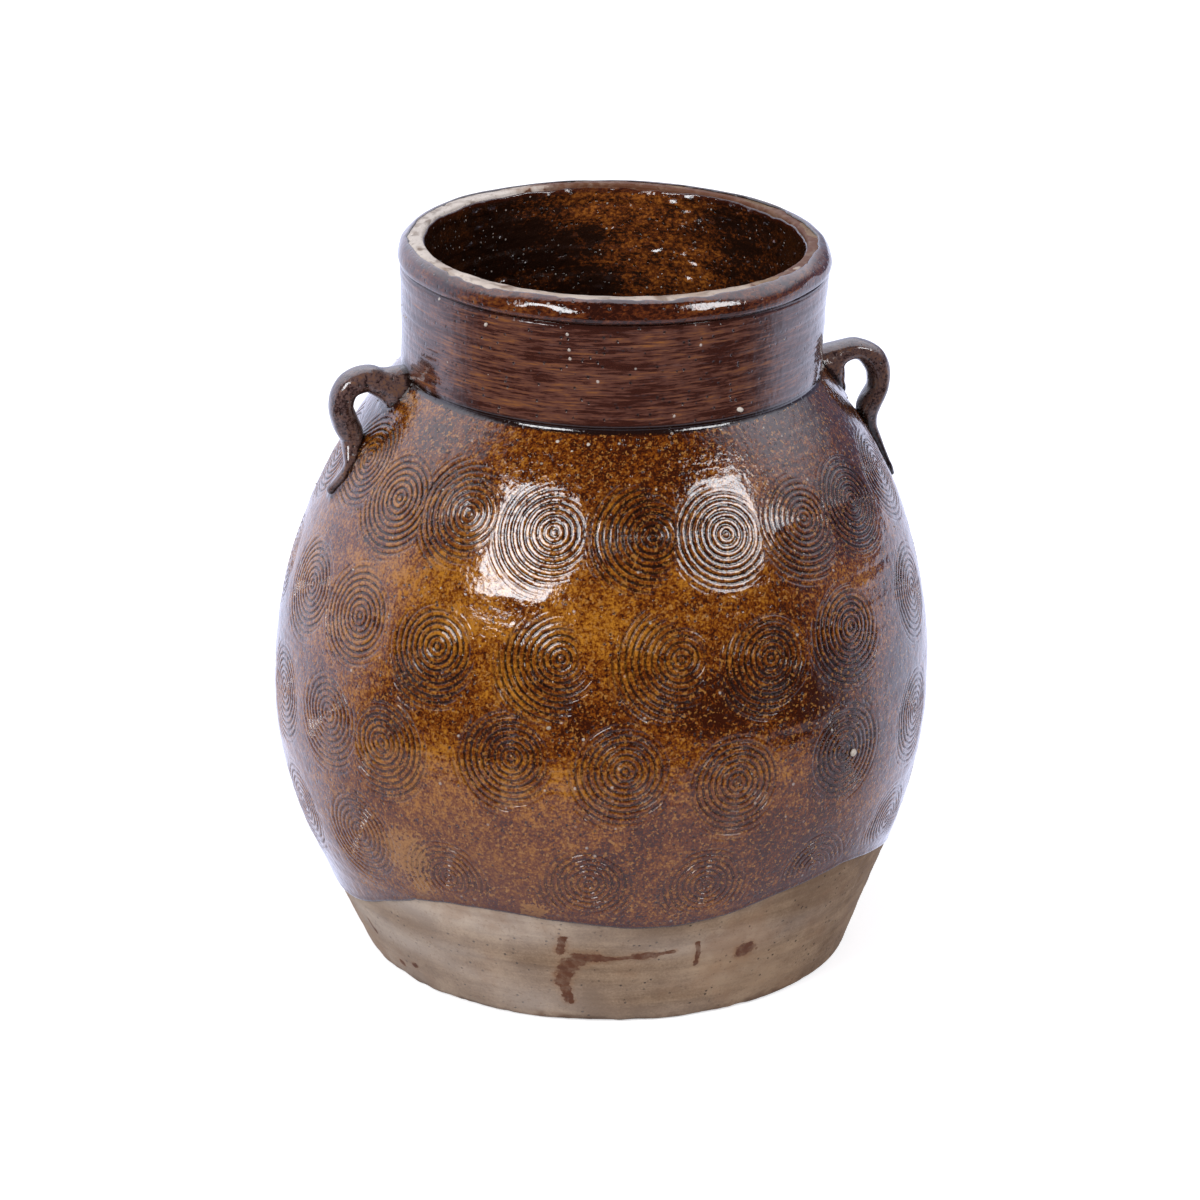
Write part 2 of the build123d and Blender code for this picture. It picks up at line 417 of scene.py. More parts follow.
@dataclass(frozen=True)
class GlazeLine:
    """The wavy line on the lower wall to which the jar was dipped.

    A wave is its number round the jar, its rise and the azimuth of its crest in degrees. The
    peak is its place in degrees from the front, its rise and its width in degrees.
    """

    mean: float = 50.7
    waves: tuple[tuple[int, float, float], ...] = (
        (1, 5.9, -47.7), (2, 5.5, -85.9), (3, 1.7, -1.7), (4, 4.1, 43.1), (5, 3.1, 11.8), (6, 0.4, 14.1),
    )
    peak: tuple[float, float, float] = (-37.5, 2.2, 4.5)
    ragged: Waves = Waves(21, 40, 50.0, 3)

    def height(self, turn: Array) -> Array:
        """The line's height.

        Args:
            turn: Azimuths in radians.

        Returns:
            The heights in millimetres.
        """
        place, rise, wide = self.peak
        total = self.mean + rise * np.exp(-np.abs(np.degrees(turn_from(turn, place)) / wide))
        for number, rise, crest in self.waves:
            total = total + rise * np.cos(number * (turn - math.radians(crest)))
        return total + 0.45 * self.ragged.at(turn)


def sheet_normals(points: Array) -> Array:
    """The outward unit normals of a sheet whose rows go down and whose columns go round."""
    side = np.roll(points, -1, axis=1) - np.roll(points, 1, axis=1)
    return unit(np.cross(np.gradient(points, axis=0), side))


@dataclass
class Skin:
    """One closed surface of a piece, as loops of points, with what it stores at each point."""

    loops: Array
    capped: bool = False
    inward: bool = False
    normals: Array | None = None
    values: dict[str, Array] = field(default_factory=dict)

    def spread(self, stored: Array | None, width: int = 1) -> Array:
        """Lays out what the skin stores at its points, its closing points last.

        Args:
            stored: What its loops store, or nothing for zeros.
            width: How many numbers a point stores.

        Returns:
            A row for each point.
        """
        count = self.loops.shape[0] * self.loops.shape[1]
        flat = np.zeros((count, width)) if stored is None else np.asarray(stored, float).reshape(count, width)
        return np.vstack([flat, flat[:1], flat[-1:]]) if self.capped else flat

    def faces(self, first: int) -> tuple[Array, Array, Array]:
        """Numbers the skin's faces so that they point out of the piece.

        Args:
            first: The number of its first point in the whole mesh.

        Returns:
            Its points, its four-sided faces and its three-sided ones.
        """
        rows, columns, _ = self.loops.shape
        points, threes = self.loops.reshape(-1, 3), NO_THREES
        index = np.arange(rows * columns).reshape(rows, columns)
        upper = index[:-1] if self.capped else index
        lower = index[1:] if self.capped else np.roll(index, -1, axis=0)
        quads = np.stack([upper, lower, np.roll(lower, -1, 1), np.roll(upper, -1, 1)], -1).reshape(-1, 4)
        if self.capped:
            start, end = rows * columns, rows * columns + 1
            points = np.vstack([points, self.loops[0].mean(0), self.loops[-1].mean(0)])
            opening = np.stack([np.full(columns, start), index[0], np.roll(index[0], -1)], -1)
            closing = np.stack([np.full(columns, end), np.roll(index[-1], -1), index[-1]], -1)
            threes = np.vstack([opening, closing])
        corners, middle = points[quads], points.mean(0)
        fans = np.cross(corners[:, 1] - middle, corners[:, 2] - middle)
        volume = np.einsum("ij,ij->", corners[:, 0] - middle, fans)
        if (volume < 0.0) != self.inward:
            quads, threes = quads[:, ::-1], threes[:, ::-1]
        return points, quads + first, threes + first


def bare_mesh(name: str, points: Array, quads: Array, threes: Array = NO_THREES) -> bpy.types.Mesh:
    """Makes a mesh in metres.

    Args:
        name: Its name.
        points: Its points, in millimetres.
        quads: Its four-sided faces.
        threes: Its three-sided faces.

    Returns:
        The mesh.
    """
    mesh = bpy.data.meshes.new(name)
    mesh.vertices.add(len(points))
    mesh.vertices.foreach_set("co", (points * MM).astype(np.float32).ravel())
    corners = np.concatenate([quads.ravel(), threes.ravel()]).astype(np.int32)
    starts = np.concatenate([np.arange(len(quads)) * 4, quads.size + np.arange(len(threes)) * 3])
    mesh.loops.add(len(corners))
    mesh.loops.foreach_set("vertex_index", corners)
    mesh.polygons.add(len(starts))
    mesh.polygons.foreach_set("loop_start", starts.astype(np.int32))
    mesh.update(calc_edges=True)
    return mesh


def store(mesh: bpy.types.Mesh, key: str, values: Array) -> None:
    """Stores numbers, or vectors in rows of three, at the points of a mesh."""
    kind, part = ("FLOAT_VECTOR", "vector") if values.ndim > 1 and values.shape[-1] == 3 else ("FLOAT", "value")
    mesh.attributes.new(key, kind, "POINT").data.foreach_set(part, values.astype(np.float32).ravel())


def linked(name: str, data: bpy.types.ID) -> Object:
    """Puts a new mesh, lamp or camera into the scene, at the origin."""
    bpy.context.collection.objects.link(made := bpy.data.objects.new(name, data))
    return made


def aimed(name: str, data: bpy.types.ID, aim: Vector, back: Vector, away: float) -> Object:
    """Puts a lamp or a camera into the scene, facing a place.

    Args:
        name: Its name.
        data: The lamp or camera.
        aim: The place it faces.
        back: The unit direction from there to it.
        away: Its distance in metres.

    Returns:
        The object.
    """
    made = linked(name, data)
    made.location = aim + back * away
    made.rotation_euler = (-back).to_track_quat("-Z", "Y").to_euler()
    return made


def settle(piece: Object, slot: str, *nodes: str) -> None:
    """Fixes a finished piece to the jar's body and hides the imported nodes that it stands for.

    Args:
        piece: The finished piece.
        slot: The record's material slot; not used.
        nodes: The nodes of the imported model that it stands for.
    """
    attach(piece, "root")
    if nodes:
        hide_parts(*nodes)
    log.info("%s: %d points, %d faces", piece.name, len(piece.data.vertices), len(piece.data.polygons))


def make_piece(name: str, skins: list[Skin], finish: Material, slot: str, node: str) -> None:
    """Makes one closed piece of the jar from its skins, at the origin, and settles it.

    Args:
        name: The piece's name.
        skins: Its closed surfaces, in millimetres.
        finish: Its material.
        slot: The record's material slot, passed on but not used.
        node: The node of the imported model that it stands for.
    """
    parts, first = [], 0
    for skin in skins:
        parts.append(skin.faces(first))
        first += len(parts[-1][0])
    mesh = bare_mesh(name, *(np.vstack(part) for part in zip(*parts)))
    mesh.polygons.foreach_set("use_smooth", np.ones(len(mesh.polygons), bool))
    for key in sorted({key for skin in skins for key in skin.values}):
        store(mesh, key, np.vstack([skin.spread(skin.values.get(key)) for skin in skins]))
    if any(skin.normals is not None for skin in skins):
        normals = np.vstack([skin.spread(skin.normals, 3) for skin in skins])
        mesh.normals_split_custom_set_from_vertices(normals.tolist())
    mesh.materials.append(finish)
    settle(linked(name, mesh), slot, node)


def scratch_object(name: str, points: Array, stored: dict[str, Array], quads: Array = NO_QUADS) -> Object:
    """Makes a working mesh for a geometry tree, which isn't part of the jar.

    Args:
        name: Its name.
        points: Its points, in millimetres.
        stored: Numbers and vectors stored at its points.
        quads: Its faces, if it has any.

    Returns:
        The working object.
    """
    mesh = bare_mesh(name, points, quads)
    for key, values in stored.items():
        store(mesh, key, values)
    return linked(name, mesh)


class Wires:
    """Places nodes in a tree and joins them."""

    def __init__(self, tree: bpy.types.NodeTree) -> None:
        """Starts on a tree."""
        self.tree = tree

    def feed(self, socket: Socket, value: Feed) -> None:
        """Joins a socket to another, or sets its value.

        Args:
            socket: The socket.
            value: The other socket or the value.
        """
        if isinstance(value, bpy.types.NodeSocket):
            self.tree.links.new(value, socket)
        else:
            socket.default_value = value

    def put(self, kind: str, joins: dict[str | int, Feed] | None = None, **settings: Feed) -> bpy.types.Node:
        """Places a node.

        Args:
            kind: The node's type.
            joins: What its inputs are joined to or set at, by name or number.
            settings: The node's own settings.

        Returns:
            The node.
        """
        node = self.tree.nodes.new(kind)
        for key, value in settings.items():
            setattr(node, key, value)
        for key, value in (joins or {}).items():
            self.feed(node.inputs[key], value)
        return node

    def sum(self, kind: str, *values: Feed) -> Socket:
        """A number worked out from up to three others."""
        return self.put("ShaderNodeMath", dict(enumerate(values)), operation=kind).outputs[0]

    def times(self, first: Feed, second: Feed) -> Socket:
        """Two numbers multiplied."""
        return self.sum("MULTIPLY", first, second)

    def onto(self, base: Feed, value: Feed, weight: Feed) -> Socket:
        """A number with another, times a weight, added to it."""
        return self.sum("MULTIPLY_ADD", value, weight, base)

    def swung(self, base: Feed, noise: Feed, weight: Feed) -> Socket:
        """A number moved to both sides by a noise value, times a weight."""
        return self.onto(base, self.sum("SUBTRACT", noise, 0.5), weight)

    def vector(self, kind: str, *values: Feed) -> Given:
        """The outputs of a node that works on vectors."""
        return self.put("ShaderNodeVectorMath", dict(enumerate(values)), operation=kind).outputs

    def scaled(self, vector: Feed, factor: Feed) -> Socket:
        """A vector times a number."""
        return self.put("ShaderNodeVectorMath", {0: vector, "Scale": factor}, operation="SCALE").outputs[0]

    def step(self, value: Feed, low: Feed, high: Feed, to_low: Feed = 0.0, to_high: Feed = 1.0) -> Socket:
        """Runs a value smoothly from one end to the other, and holds it outside them."""
        joins = {0: value, 1: low, 2: high, 3: to_low, 4: to_high}
        return self.put("ShaderNodeMapRange", joins, interpolation_type="SMOOTHSTEP").outputs[0]

    def noise(self, place: Feed, scale: Feed, detail: float = 2.0, rough: float = 0.55) -> Socket:
        """A noise value from 0 to 1 at a place."""
        joins = {"Vector": place, "Scale": scale, "Detail": detail, "Roughness": rough}
        return self.put("ShaderNodeTexNoise", joins).outputs[0]

    def wear(self, place: Feed, seed: Feed, scale: float, detail: float) -> Socket:
        """A noise value from 0 to 1 at a place, other for each seed."""
        joins = {"Vector": place, "W": seed, "Scale": scale, "Detail": detail}
        return self.put("ShaderNodeTexNoise", joins, noise_dimensions="4D").outputs[0]

    def spots(self, place: Feed, scale: Feed, channel: int, chance: tuple[Feed, Feed],
              reach: tuple[float, float]) -> Socket:
        """Round spots in some of the cells round random points.

        Args:
            place: The place.
            scale: How close the points lie.
            channel: Which of the cell's random numbers chooses it.
            chance: The random numbers at which a cell starts to have a spot and surely has one.
            reach: How far a spot reaches, and how far it is at its full strength.

        Returns:
            The spots' strength.
        """
        cells = self.put("ShaderNodeTexVoronoi", {"Vector": place, "Scale": scale}).outputs
        number = self.put("ShaderNodeSeparateColor", {0: cells["Color"]}).outputs[channel]
        return self.times(self.step(cells["Distance"], *reach), self.step(number, *chance))

    def blend(self, share: Feed, first: Feed, second: Feed) -> Socket:
        """A colour between two others."""
        joins = {0: share, 6: first, 7: second}
        return self.put("ShaderNodeMix", joins, data_type="RGBA").outputs[2]

    def named(self, kind: str, name: str) -> Socket:
        """A value stored on a mesh, in a geometry tree."""
        return self.put("GeometryNodeInputNamedAttribute", {"Name": name}, data_type=kind).outputs[0]

    def stored(self, name: str) -> Socket:
        """A number stored at the points of the mesh, in a material."""
        return self.put("ShaderNodeAttribute", attribute_name=name, attribute_type="GEOMETRY").outputs["Fac"]

    def stretched(self, place: Feed, scale: tuple[float, float, float]) -> Socket:
        """A place whose pattern is drawn out by a scale along each axis."""
        return self.put("ShaderNodeMapping", {"Vector": place, "Scale": scale}).outputs[0]

    def ridge(self, rings: Feed) -> Socket:
        """Is 1 midway between whole numbers and 0 at them."""
        return self.sum("ABSOLUTE", self.sum("SINE", self.times(rings, math.pi)))

    def surface(self, height: Feed, depth: float, joins: dict[str, Feed]) -> None:
        """Ends a material in one shader, whose normal follows a height."""
        normal = self.put("ShaderNodeBump", {"Height": height, "Distance": depth, "Strength": 1.0}).outputs[0]
        self.ends(self.put("ShaderNodeBsdfPrincipled", {**joins, "Normal": normal}).outputs[0])

    def ends(self, shader: Socket, kind: str = "ShaderNodeOutputMaterial") -> None:
        """Joins a shader to the tree's output."""
        self.put(kind, {"Surface": shader})

    def dressed(self, geometry: Feed, finish: Feed) -> None:
        """Ends a geometry tree with a material on what it made."""
        made = self.put("GeometryNodeSetMaterial", {"Geometry": geometry, "Material": finish})
        self.put("NodeGroupOutput", {0: made.outputs[0]})


def rgb(red: float, green: float, blue: float) -> tuple[float, float, float, float]:
    """A plain colour in linear values."""
    return (red, green, blue, 1.0)


WHITE = rgb(1.0, 1.0, 1.0)


def blank_nodes(owner: Material | bpy.types.World) -> Wires:
    """Empties the tree of a material or a world.

    Args:
        owner: The material or world.

    Returns:
        The wires of its tree.
    """
    owner.use_nodes = True
    owner.node_tree.nodes.clear()
    return Wires(owner.node_tree)


def started(name: str) -> tuple[Material, Wires, Socket]:
    """Starts a material.

    Args:
        name: Its name.

    Returns:
        The material, its wires and the place on the piece.
    """
    made = bpy.data.materials.new(name)
    wires = blank_nodes(made)
    return made, wires, wires.put("ShaderNodeTexCoord").outputs["Object"]


def geometry_tree(name: str, kinds: dict[str, str]) -> tuple[bpy.types.NodeTree, Wires, Given]:
    """Starts a tree of geometry nodes.

    Args:
        name: Its name.
        kinds: The kind of each named input besides the geometry.

    Returns:
        The tree, its wires and its inputs.
    """
    tree = bpy.data.node_groups.new(name, "GeometryNodeTree")
    for key, kind in {"Geometry": "Geometry", **kinds}.items():
        tree.interface.new_socket(key, in_out="INPUT", socket_type=f"NodeSocket{kind}")
    tree.interface.new_socket("Geometry", in_out="OUTPUT", socket_type="NodeSocketGeometry")
    wires = Wires(tree)
    return tree, wires, wires.put("NodeGroupInput").outputs


def grown(piece: Object, tree: bpy.types.NodeTree, inputs: dict[str, Feed]) -> bpy.types.Mesh:
    """Runs a geometry tree on a piece and gives the result as a plain mesh.

    Args:
        piece: The piece that carries the modifier.
        tree: The geometry tree.
        inputs: The values of its inputs, by name.

    Returns:
        The plain mesh; the modifier is gone from the piece.
    """
    modifier = piece.modifiers.new(tree.name, "NODES")
    modifier.node_group = tree
    for item in tree.interface.items_tree:
        if item.item_type == "SOCKET" and item.in_out == "INPUT" and item.name in inputs:
            modifier[item.identifier] = inputs[item.name]
    piece.update_tag()
    bpy.context.view_layer.update()
    ready = piece.evaluated_get(bpy.context.evaluated_depsgraph_get())
    mesh = bpy.data.meshes.new_from_object(ready)
    piece.modifiers.remove(modifier)
    return mesh


def titled(owner: object, *names: str) -> dict[str, Feed]:
    """Fields of an object, under the names that node inputs have."""
    return {name.replace("_", " ").title(): getattr(owner, name) for name in names}


class SharedEffect:
    """A node group that several finishes use, with named inputs and outputs of each kind."""

    name = "effect"
    inputs: dict[str, tuple[str, ...]] = {}
    outputs: dict[str, tuple[str, ...]] = {}

    def tree(self) -> bpy.types.NodeTree:
        """Builds the group, once.

        Returns:
            The group.
        """
        made = bpy.data.node_groups.get(self.name)
        if made:
            return made
        group = bpy.data.node_groups.new(self.name, "ShaderNodeTree")
        for way, kinds in (("INPUT", self.inputs), ("OUTPUT", self.outputs)):
            for kind, names in kinds.items():
                for name in names:
                    group.interface.new_socket(name, in_out=way, socket_type=f"NodeSocket{kind}")
        wires = Wires(group)
        result = wires.put("NodeGroupOutput").inputs
        for name, socket in self.wired(wires, wires.put("NodeGroupInput").outputs).items():
            wires.feed(result[name], socket)
        return group

    def wired(self, wires: Wires, given: Given) -> dict[str, Socket]:
        """The effect's outputs by name; each kind of effect wires its own."""
        raise NotImplementedError

    def used(self, wires: Wires, joins: dict[str, Feed]) -> Given:
        """Places the group in a finish and gives its outputs."""
        return wires.put("ShaderNodeGroup", joins, node_tree=self.tree()).outputs


class FiredSpeckle(SharedEffect):
    """Iron glaze fired to a speckle of amber over near-black, with pinholes, and pale dots painted on small raised
    blisters as glints.
    """

    name = "fired_speckle"
    inputs = {
        "Vector": ("Place", "Grain Place"),
        "Color": ("Dark", "Brown", "Amber"),
        "Float": ("Speck Scale", "Amber Share", "Pooled", "Grooved", "Pinholes", "Sparks", "Spark Floor",
                  "Spark Scale", "Haze"),
    }
    outputs = {"Color": ("Color",), "Float": ("Roughness", "Height")}
    pool_color = rgb(0.006, 0.002, 0.001)
    groove_color = rgb(0.008, 0.003, 0.001)
    hole_color = rgb(0.004, 0.002, 0.001)
    spark_color = rgb(0.62, 0.55, 0.48)

    def wired(self, wires: Wires, given: Given) -> dict[str, Socket]:
        """Wires the speckle.

        Args:
            wires: The group's wires.
            given: The group's inputs.

        Returns:
            The outputs by name.
        """
        place, grain = given["Place"], given["Grain Place"]
        fine = wires.noise(grain, given["Speck Scale"], 3.0, 0.7)
        mottle = wires.noise(grain, 260.0, 3.0, 0.7)
        shares = ((fine, 2.4), (mottle, 1.5), (wires.noise(place, 26.0, 5.0, 0.68), 1.7))
        amber = given["Amber Share"]
        for noise, weight in shares:
            amber = wires.swung(amber, noise, weight)
        # Pooled glaze darkens the speckle here, and so does the painted shade stored with it.
        amber = wires.onto(amber, given["Pooled"], -0.75)
        color = wires.blend(wires.step(amber, 0.05, 0.5), given["Dark"], given["Brown"])
        color = wires.blend(wires.step(amber, 0.4, 1.1), color, given["Amber"])
        hole = wires.times(wires.spots(place, 360.0, 0, (0.55, 0.65), (0.3, 0.12)), given["Pinholes"])
        # Painted glints: pale dots on small raised blisters, standing in for the light that their bumps catch.
        blister_glint = wires.spots(place, given["Spark Scale"], 1, (given["Spark Floor"], 0.97), (0.2, 0.1))
        for share, over in (
            (wires.times(given["Pooled"], 0.85), self.pool_color),
            (wires.times(given["Grooved"], 0.9), self.groove_color),
            (hole, self.hole_color),
            (wires.times(blister_glint, given["Sparks"]), self.spark_color),
        ):
            color = wires.blend(share, color, over)
        height = wires.onto(wires.times(fine, 0.06), wires.noise(place, 430.0, 2.0, 0.55), 0.5)
        for value, weight in ((hole, -0.6), (blister_glint, 0.5), (given["Grooved"], -1.5)):
            height = wires.onto(height, value, weight)
        rough = wires.step(mottle, 0.3, 0.7, given["Haze"], wires.sum("ADD", given["Haze"], 0.06))
        return {"Color": color, "Roughness": rough, "Height": height}


class ClayGrain(SharedEffect):
    """Fired buff clay with dragged streaks, grains of sand and open pores."""

    name = "clay_grain"
    inputs = {"Vector": ("Place",), "Color": ("Pale", "Deep"), "Float": ("Streaks", "Pores")}
    outputs = {"Color": ("Color",), "Float": ("Height",)}
    pore_color = rgb(0.03, 0.016, 0.01)

    def wired(self, wires: Wires, given: Given) -> dict[str, Socket]:
        """Wires the grain.

        Args:
            wires: The group's wires.
            given: The group's inputs.

        Returns:
            The outputs by name.
        """
        place = given["Place"]
        streak = wires.noise(wires.stretched(place, (9.0, 9.0, 150.0)), 3.0, 4.0, 0.6)
        grain = wires.noise(place, 900.0, 2.0, 0.6)
        pale = wires.swung(0.5, streak, given["Streaks"])
        pale = wires.swung(pale, wires.noise(place, 24.0, 3.0, 0.6), 1.6)
        pale = wires.swung(pale, grain, 0.45)
        color = wires.blend(wires.step(pale, 0.2, 0.8), given["Deep"], given["Pale"])
        thick = wires.step(wires.noise(place, 70.0), 0.42, 0.58, 0.0, given["Pores"])
        pore = wires.times(wires.spots(place, 420.0, 0, (0.66, 0.72), (0.3, 0.14)), thick)
        height = wires.onto(wires.onto(wires.times(grain, 0.35), streak, 0.5), pore, -0.8)
        return {"Color": wires.blend(pore, color, self.pore_color), "Height": height}

    def over(self, wires: Wires, place: Socket, finish: object) -> Given:
        """The grain of a finish, which holds its colours, streaks and pores."""
        return self.used(wires, {"Place": place, **titled(finish, "pale", "deep", "streaks", "pores")})


class RaggedMask(SharedEffect):
    """Turns a soft stored value into a patch with a ragged edge."""

    name = "ragged_mask"
    inputs = {"Vector": ("Place",), "Float": ("Value", "Scale", "Raggedness")}
    outputs = {"Float": ("Mask",)}

    def wired(self, wires: Wires, given: Given) -> dict[str, Socket]:
        """Wires the mask, from a noise that eats into the value's edge.

        Args:
            wires: The group's wires.
            given: The group's inputs.

        Returns:
            The mask by name.
        """
        noise = wires.noise(given["Place"], given["Scale"], 3.0, 0.6)
        bite = wires.times(wires.sum("SUBTRACT", noise, 0.5), given["Raggedness"])
        return {"Mask": wires.step(wires.onto(given["Value"], bite, 2.0), 0.42, 0.6)}

    def over(self, wires: Wires, place: Socket, value: Socket, scale: float, raggedness: float) -> Socket:
        """The ragged patch of a value in a finish."""
        return self.used(wires, {"Place": place, "Value": value, "Scale": scale, "Raggedness": raggedness})[0]


class Tone(Enum):
    """The parts of the jar on which the brown glaze fired to a tone of its own."""

    BODY = "body"
    NECK = "neck"
    ROLL = "roll"
    LUG = "lug"
    INSIDE = "inside"


@dataclass(frozen=True)
class BrownGlaze:
    """The jar's glossy iron-brown glaze."""

    tone: Tone
    dark: tuple = rgb(0.03, 0.005, 0.0006)
    brown: tuple = rgb(0.12, 0.026, 0.0015)
    amber: tuple = rgb(0.36, 0.14, 0.012)
    amber_share: float = 0.44
    drawn: tuple[float, float, float] = (1.0, 1.0, 1.0)
    speck_scale: float = 850.0
    pinholes: float = 0.8
    # Painted glints: how strong the pale glint dots are, from which cell number they start and how close they lie.
    sparks: float = 0.5
    spark_floor: float = 0.92
    spark_scale: float = 230.0
    haze: float = 0.03
    streaks: float = 0.0
    bump_depth: float = 0.0005
    veil_color: tuple = rgb(0.1, 0.03, 0.014)
    gold_colors: tuple = (rgb(0.16, 0.055, 0.008), rgb(0.42, 0.2, 0.05))
    band_color: tuple = rgb(0.05, 0.009, 0.004)
    line_color: tuple = rgb(0.012, 0.005, 0.003)

    def color(self, wires: Wires, place: Socket, glaze: Socket) -> Socket:
        """Adds a duller brown veil low on the wall, and what the glaze does at its edges and in places: band, thin
        line and gold patches.

        Args:
            wires: The material's wires.
            place: The place on the piece.
            glaze: The speckled colour.

        Returns:
            The finished colour.
        """
        if self.tone is Tone.BODY:
            # Below 150 mm, and fully below 75 mm, the wall is blended in broad patches towards a duller, darker brown
            # veil.
            height = wires.put("ShaderNodeSeparateXYZ", {0: place}).outputs[2]
            spread = wires.step(wires.noise(place, 14.0, 3.0, 0.6), 0.25, 0.8, 0.1, 0.6)
            glaze = wires.blend(wires.times(wires.step(height, 0.15, 0.075), spread), glaze, self.veil_color)
            gold = RaggedMask().over(wires, place, wires.stored("gold"), 620.0, 2.4)
            tint = wires.blend(wires.noise(place, 900.0), *self.gold_colors)
            glaze = wires.blend(wires.times(gold, 0.85), glaze, tint)
        band = wires.stored("edge")
        glaze = wires.blend(wires.times(band, 0.72), glaze, self.band_color)
        return wires.blend(wires.step(band, 0.86, 0.98), glaze, self.line_color)

    def material(self) -> Material:
        """Makes the finish.

        Returns:
            The material.
        """
        made, wires, place = started(f"glaze_{self.tone.value}")
        share = wires.onto(self.amber_share, wires.stored("warm"), 0.3)
        if self.streaks:
            drawn = wires.noise(wires.stretched(place, (14.0, 14.0, 420.0)), 2.0, 3.0, 0.65)
            share = wires.swung(share, drawn, self.streaks)
        groove = wires.step(wires.ridge(wires.stored("ring")), 0.82, 0.2)
        fields = ("dark", "brown", "amber", "speck_scale", "pinholes", "sparks", "spark_floor", "spark_scale", "haze")
        joins = {
            "Place": place,
            "Grain Place": wires.stretched(place, self.drawn),
            "Amber Share": share,
            "Pooled": wires.stored("pool"),
            "Grooved": wires.times(groove, wires.stored("press")),
            **titled(self, *fields),
        }
        speckle = FiredSpeckle().used(wires, joins)
        wires.surface(speckle["Height"], self.bump_depth, {
            "Base Color": self.color(wires, place, speckle["Color"]),
            "Roughness": speckle["Roughness"],
            "IOR": 1.52,
            "Coat Weight": 0.5,
            "Coat Roughness": 0.04,
            "Coat IOR": 1.6,
        })
        return made


@dataclass(frozen=True)
class BareClay:
    """The unglazed buff clay of the foot and the lip, with its stains."""

    pale: tuple = rgb(0.335, 0.226, 0.14)
    deep: tuple = rgb(0.17, 0.1, 0.055)
    stain: tuple = rgb(0.11, 0.034, 0.01)
    bleached: tuple = rgb(0.84, 0.76, 0.69)
    fleck: tuple = rgb(0.2, 0.13, 0.085)
    tan: tuple = rgb(0.12, 0.066, 0.038)
    rust: tuple = rgb(0.235, 0.12, 0.06)
    smear: tuple = rgb(0.24, 0.115, 0.052)
    streaks: float = 0.5
    pores: float = 0.9

    def material(self) -> Material:
        """Makes the finish.

        Returns:
            The material.
        """
        made, wires, place = started("bare_clay")
        grain = ClayGrain().over(wires, place, self)
        smear = wires.stored("stain")
        stain = RaggedMask().over(wires, place, smear, 330.0, 0.5)
        fleck = wires.step(wires.noise(place, 560.0, 3.0, 0.65), 0.56, 0.68)
        color = grain["Color"]
        for share, over in (
            (wires.stored("bleach"), self.bleached),
            (wires.times(fleck, 0.4), self.fleck),
            (wires.times(wires.stored("scorch"), wires.step(wires.noise(place, 90.0, 3.0), 0.3, 0.65)), self.tan),
            (wires.step(wires.noise(place, 22.0, 4.0, 0.65), 0.5, 0.68, 0.0, 0.4), self.rust),
            (wires.times(wires.step(smear, 0.0, 0.55, 0.0, 0.6),
                         wires.step(wires.noise(place, 150.0), 0.3, 0.7)), self.smear),
            (wires.times(stain, wires.step(wires.noise(place, 240.0, 3.0), 0.3, 0.6, 0.6, 1.0)), self.stain),
        ):
            color = wires.blend(share, color, over)
        rough = wires.step(stain, 0.0, 1.0, 0.82, 0.6)
        wires.surface(grain["Height"], 0.00035,
                      {"Base Color": color, "Roughness": rough, "Specular IOR Level": 0.35})
        return made


@dataclass(frozen=True)
class FusedGrit:
    """Pale kiln grit half melted into the glaze."""

    pale: tuple = rgb(0.56, 0.5, 0.43)
    deep: tuple = rgb(0.22, 0.15, 0.09)
    streaks: float = 0.2
    pores: float = 0.3

    def material(self) -> Material:
        """Makes the finish.

        Returns:
            The material.
        """
        made, wires, place = started("fused_grit")
        grain = ClayGrain().over(wires, place, self)
        rough = wires.step(wires.noise(place, 700.0), 0.3, 0.7, 0.25, 0.6)
        wires.surface(grain["Height"], 0.0002, {"Base Color": grain["Color"], "Roughness": rough})
        return made


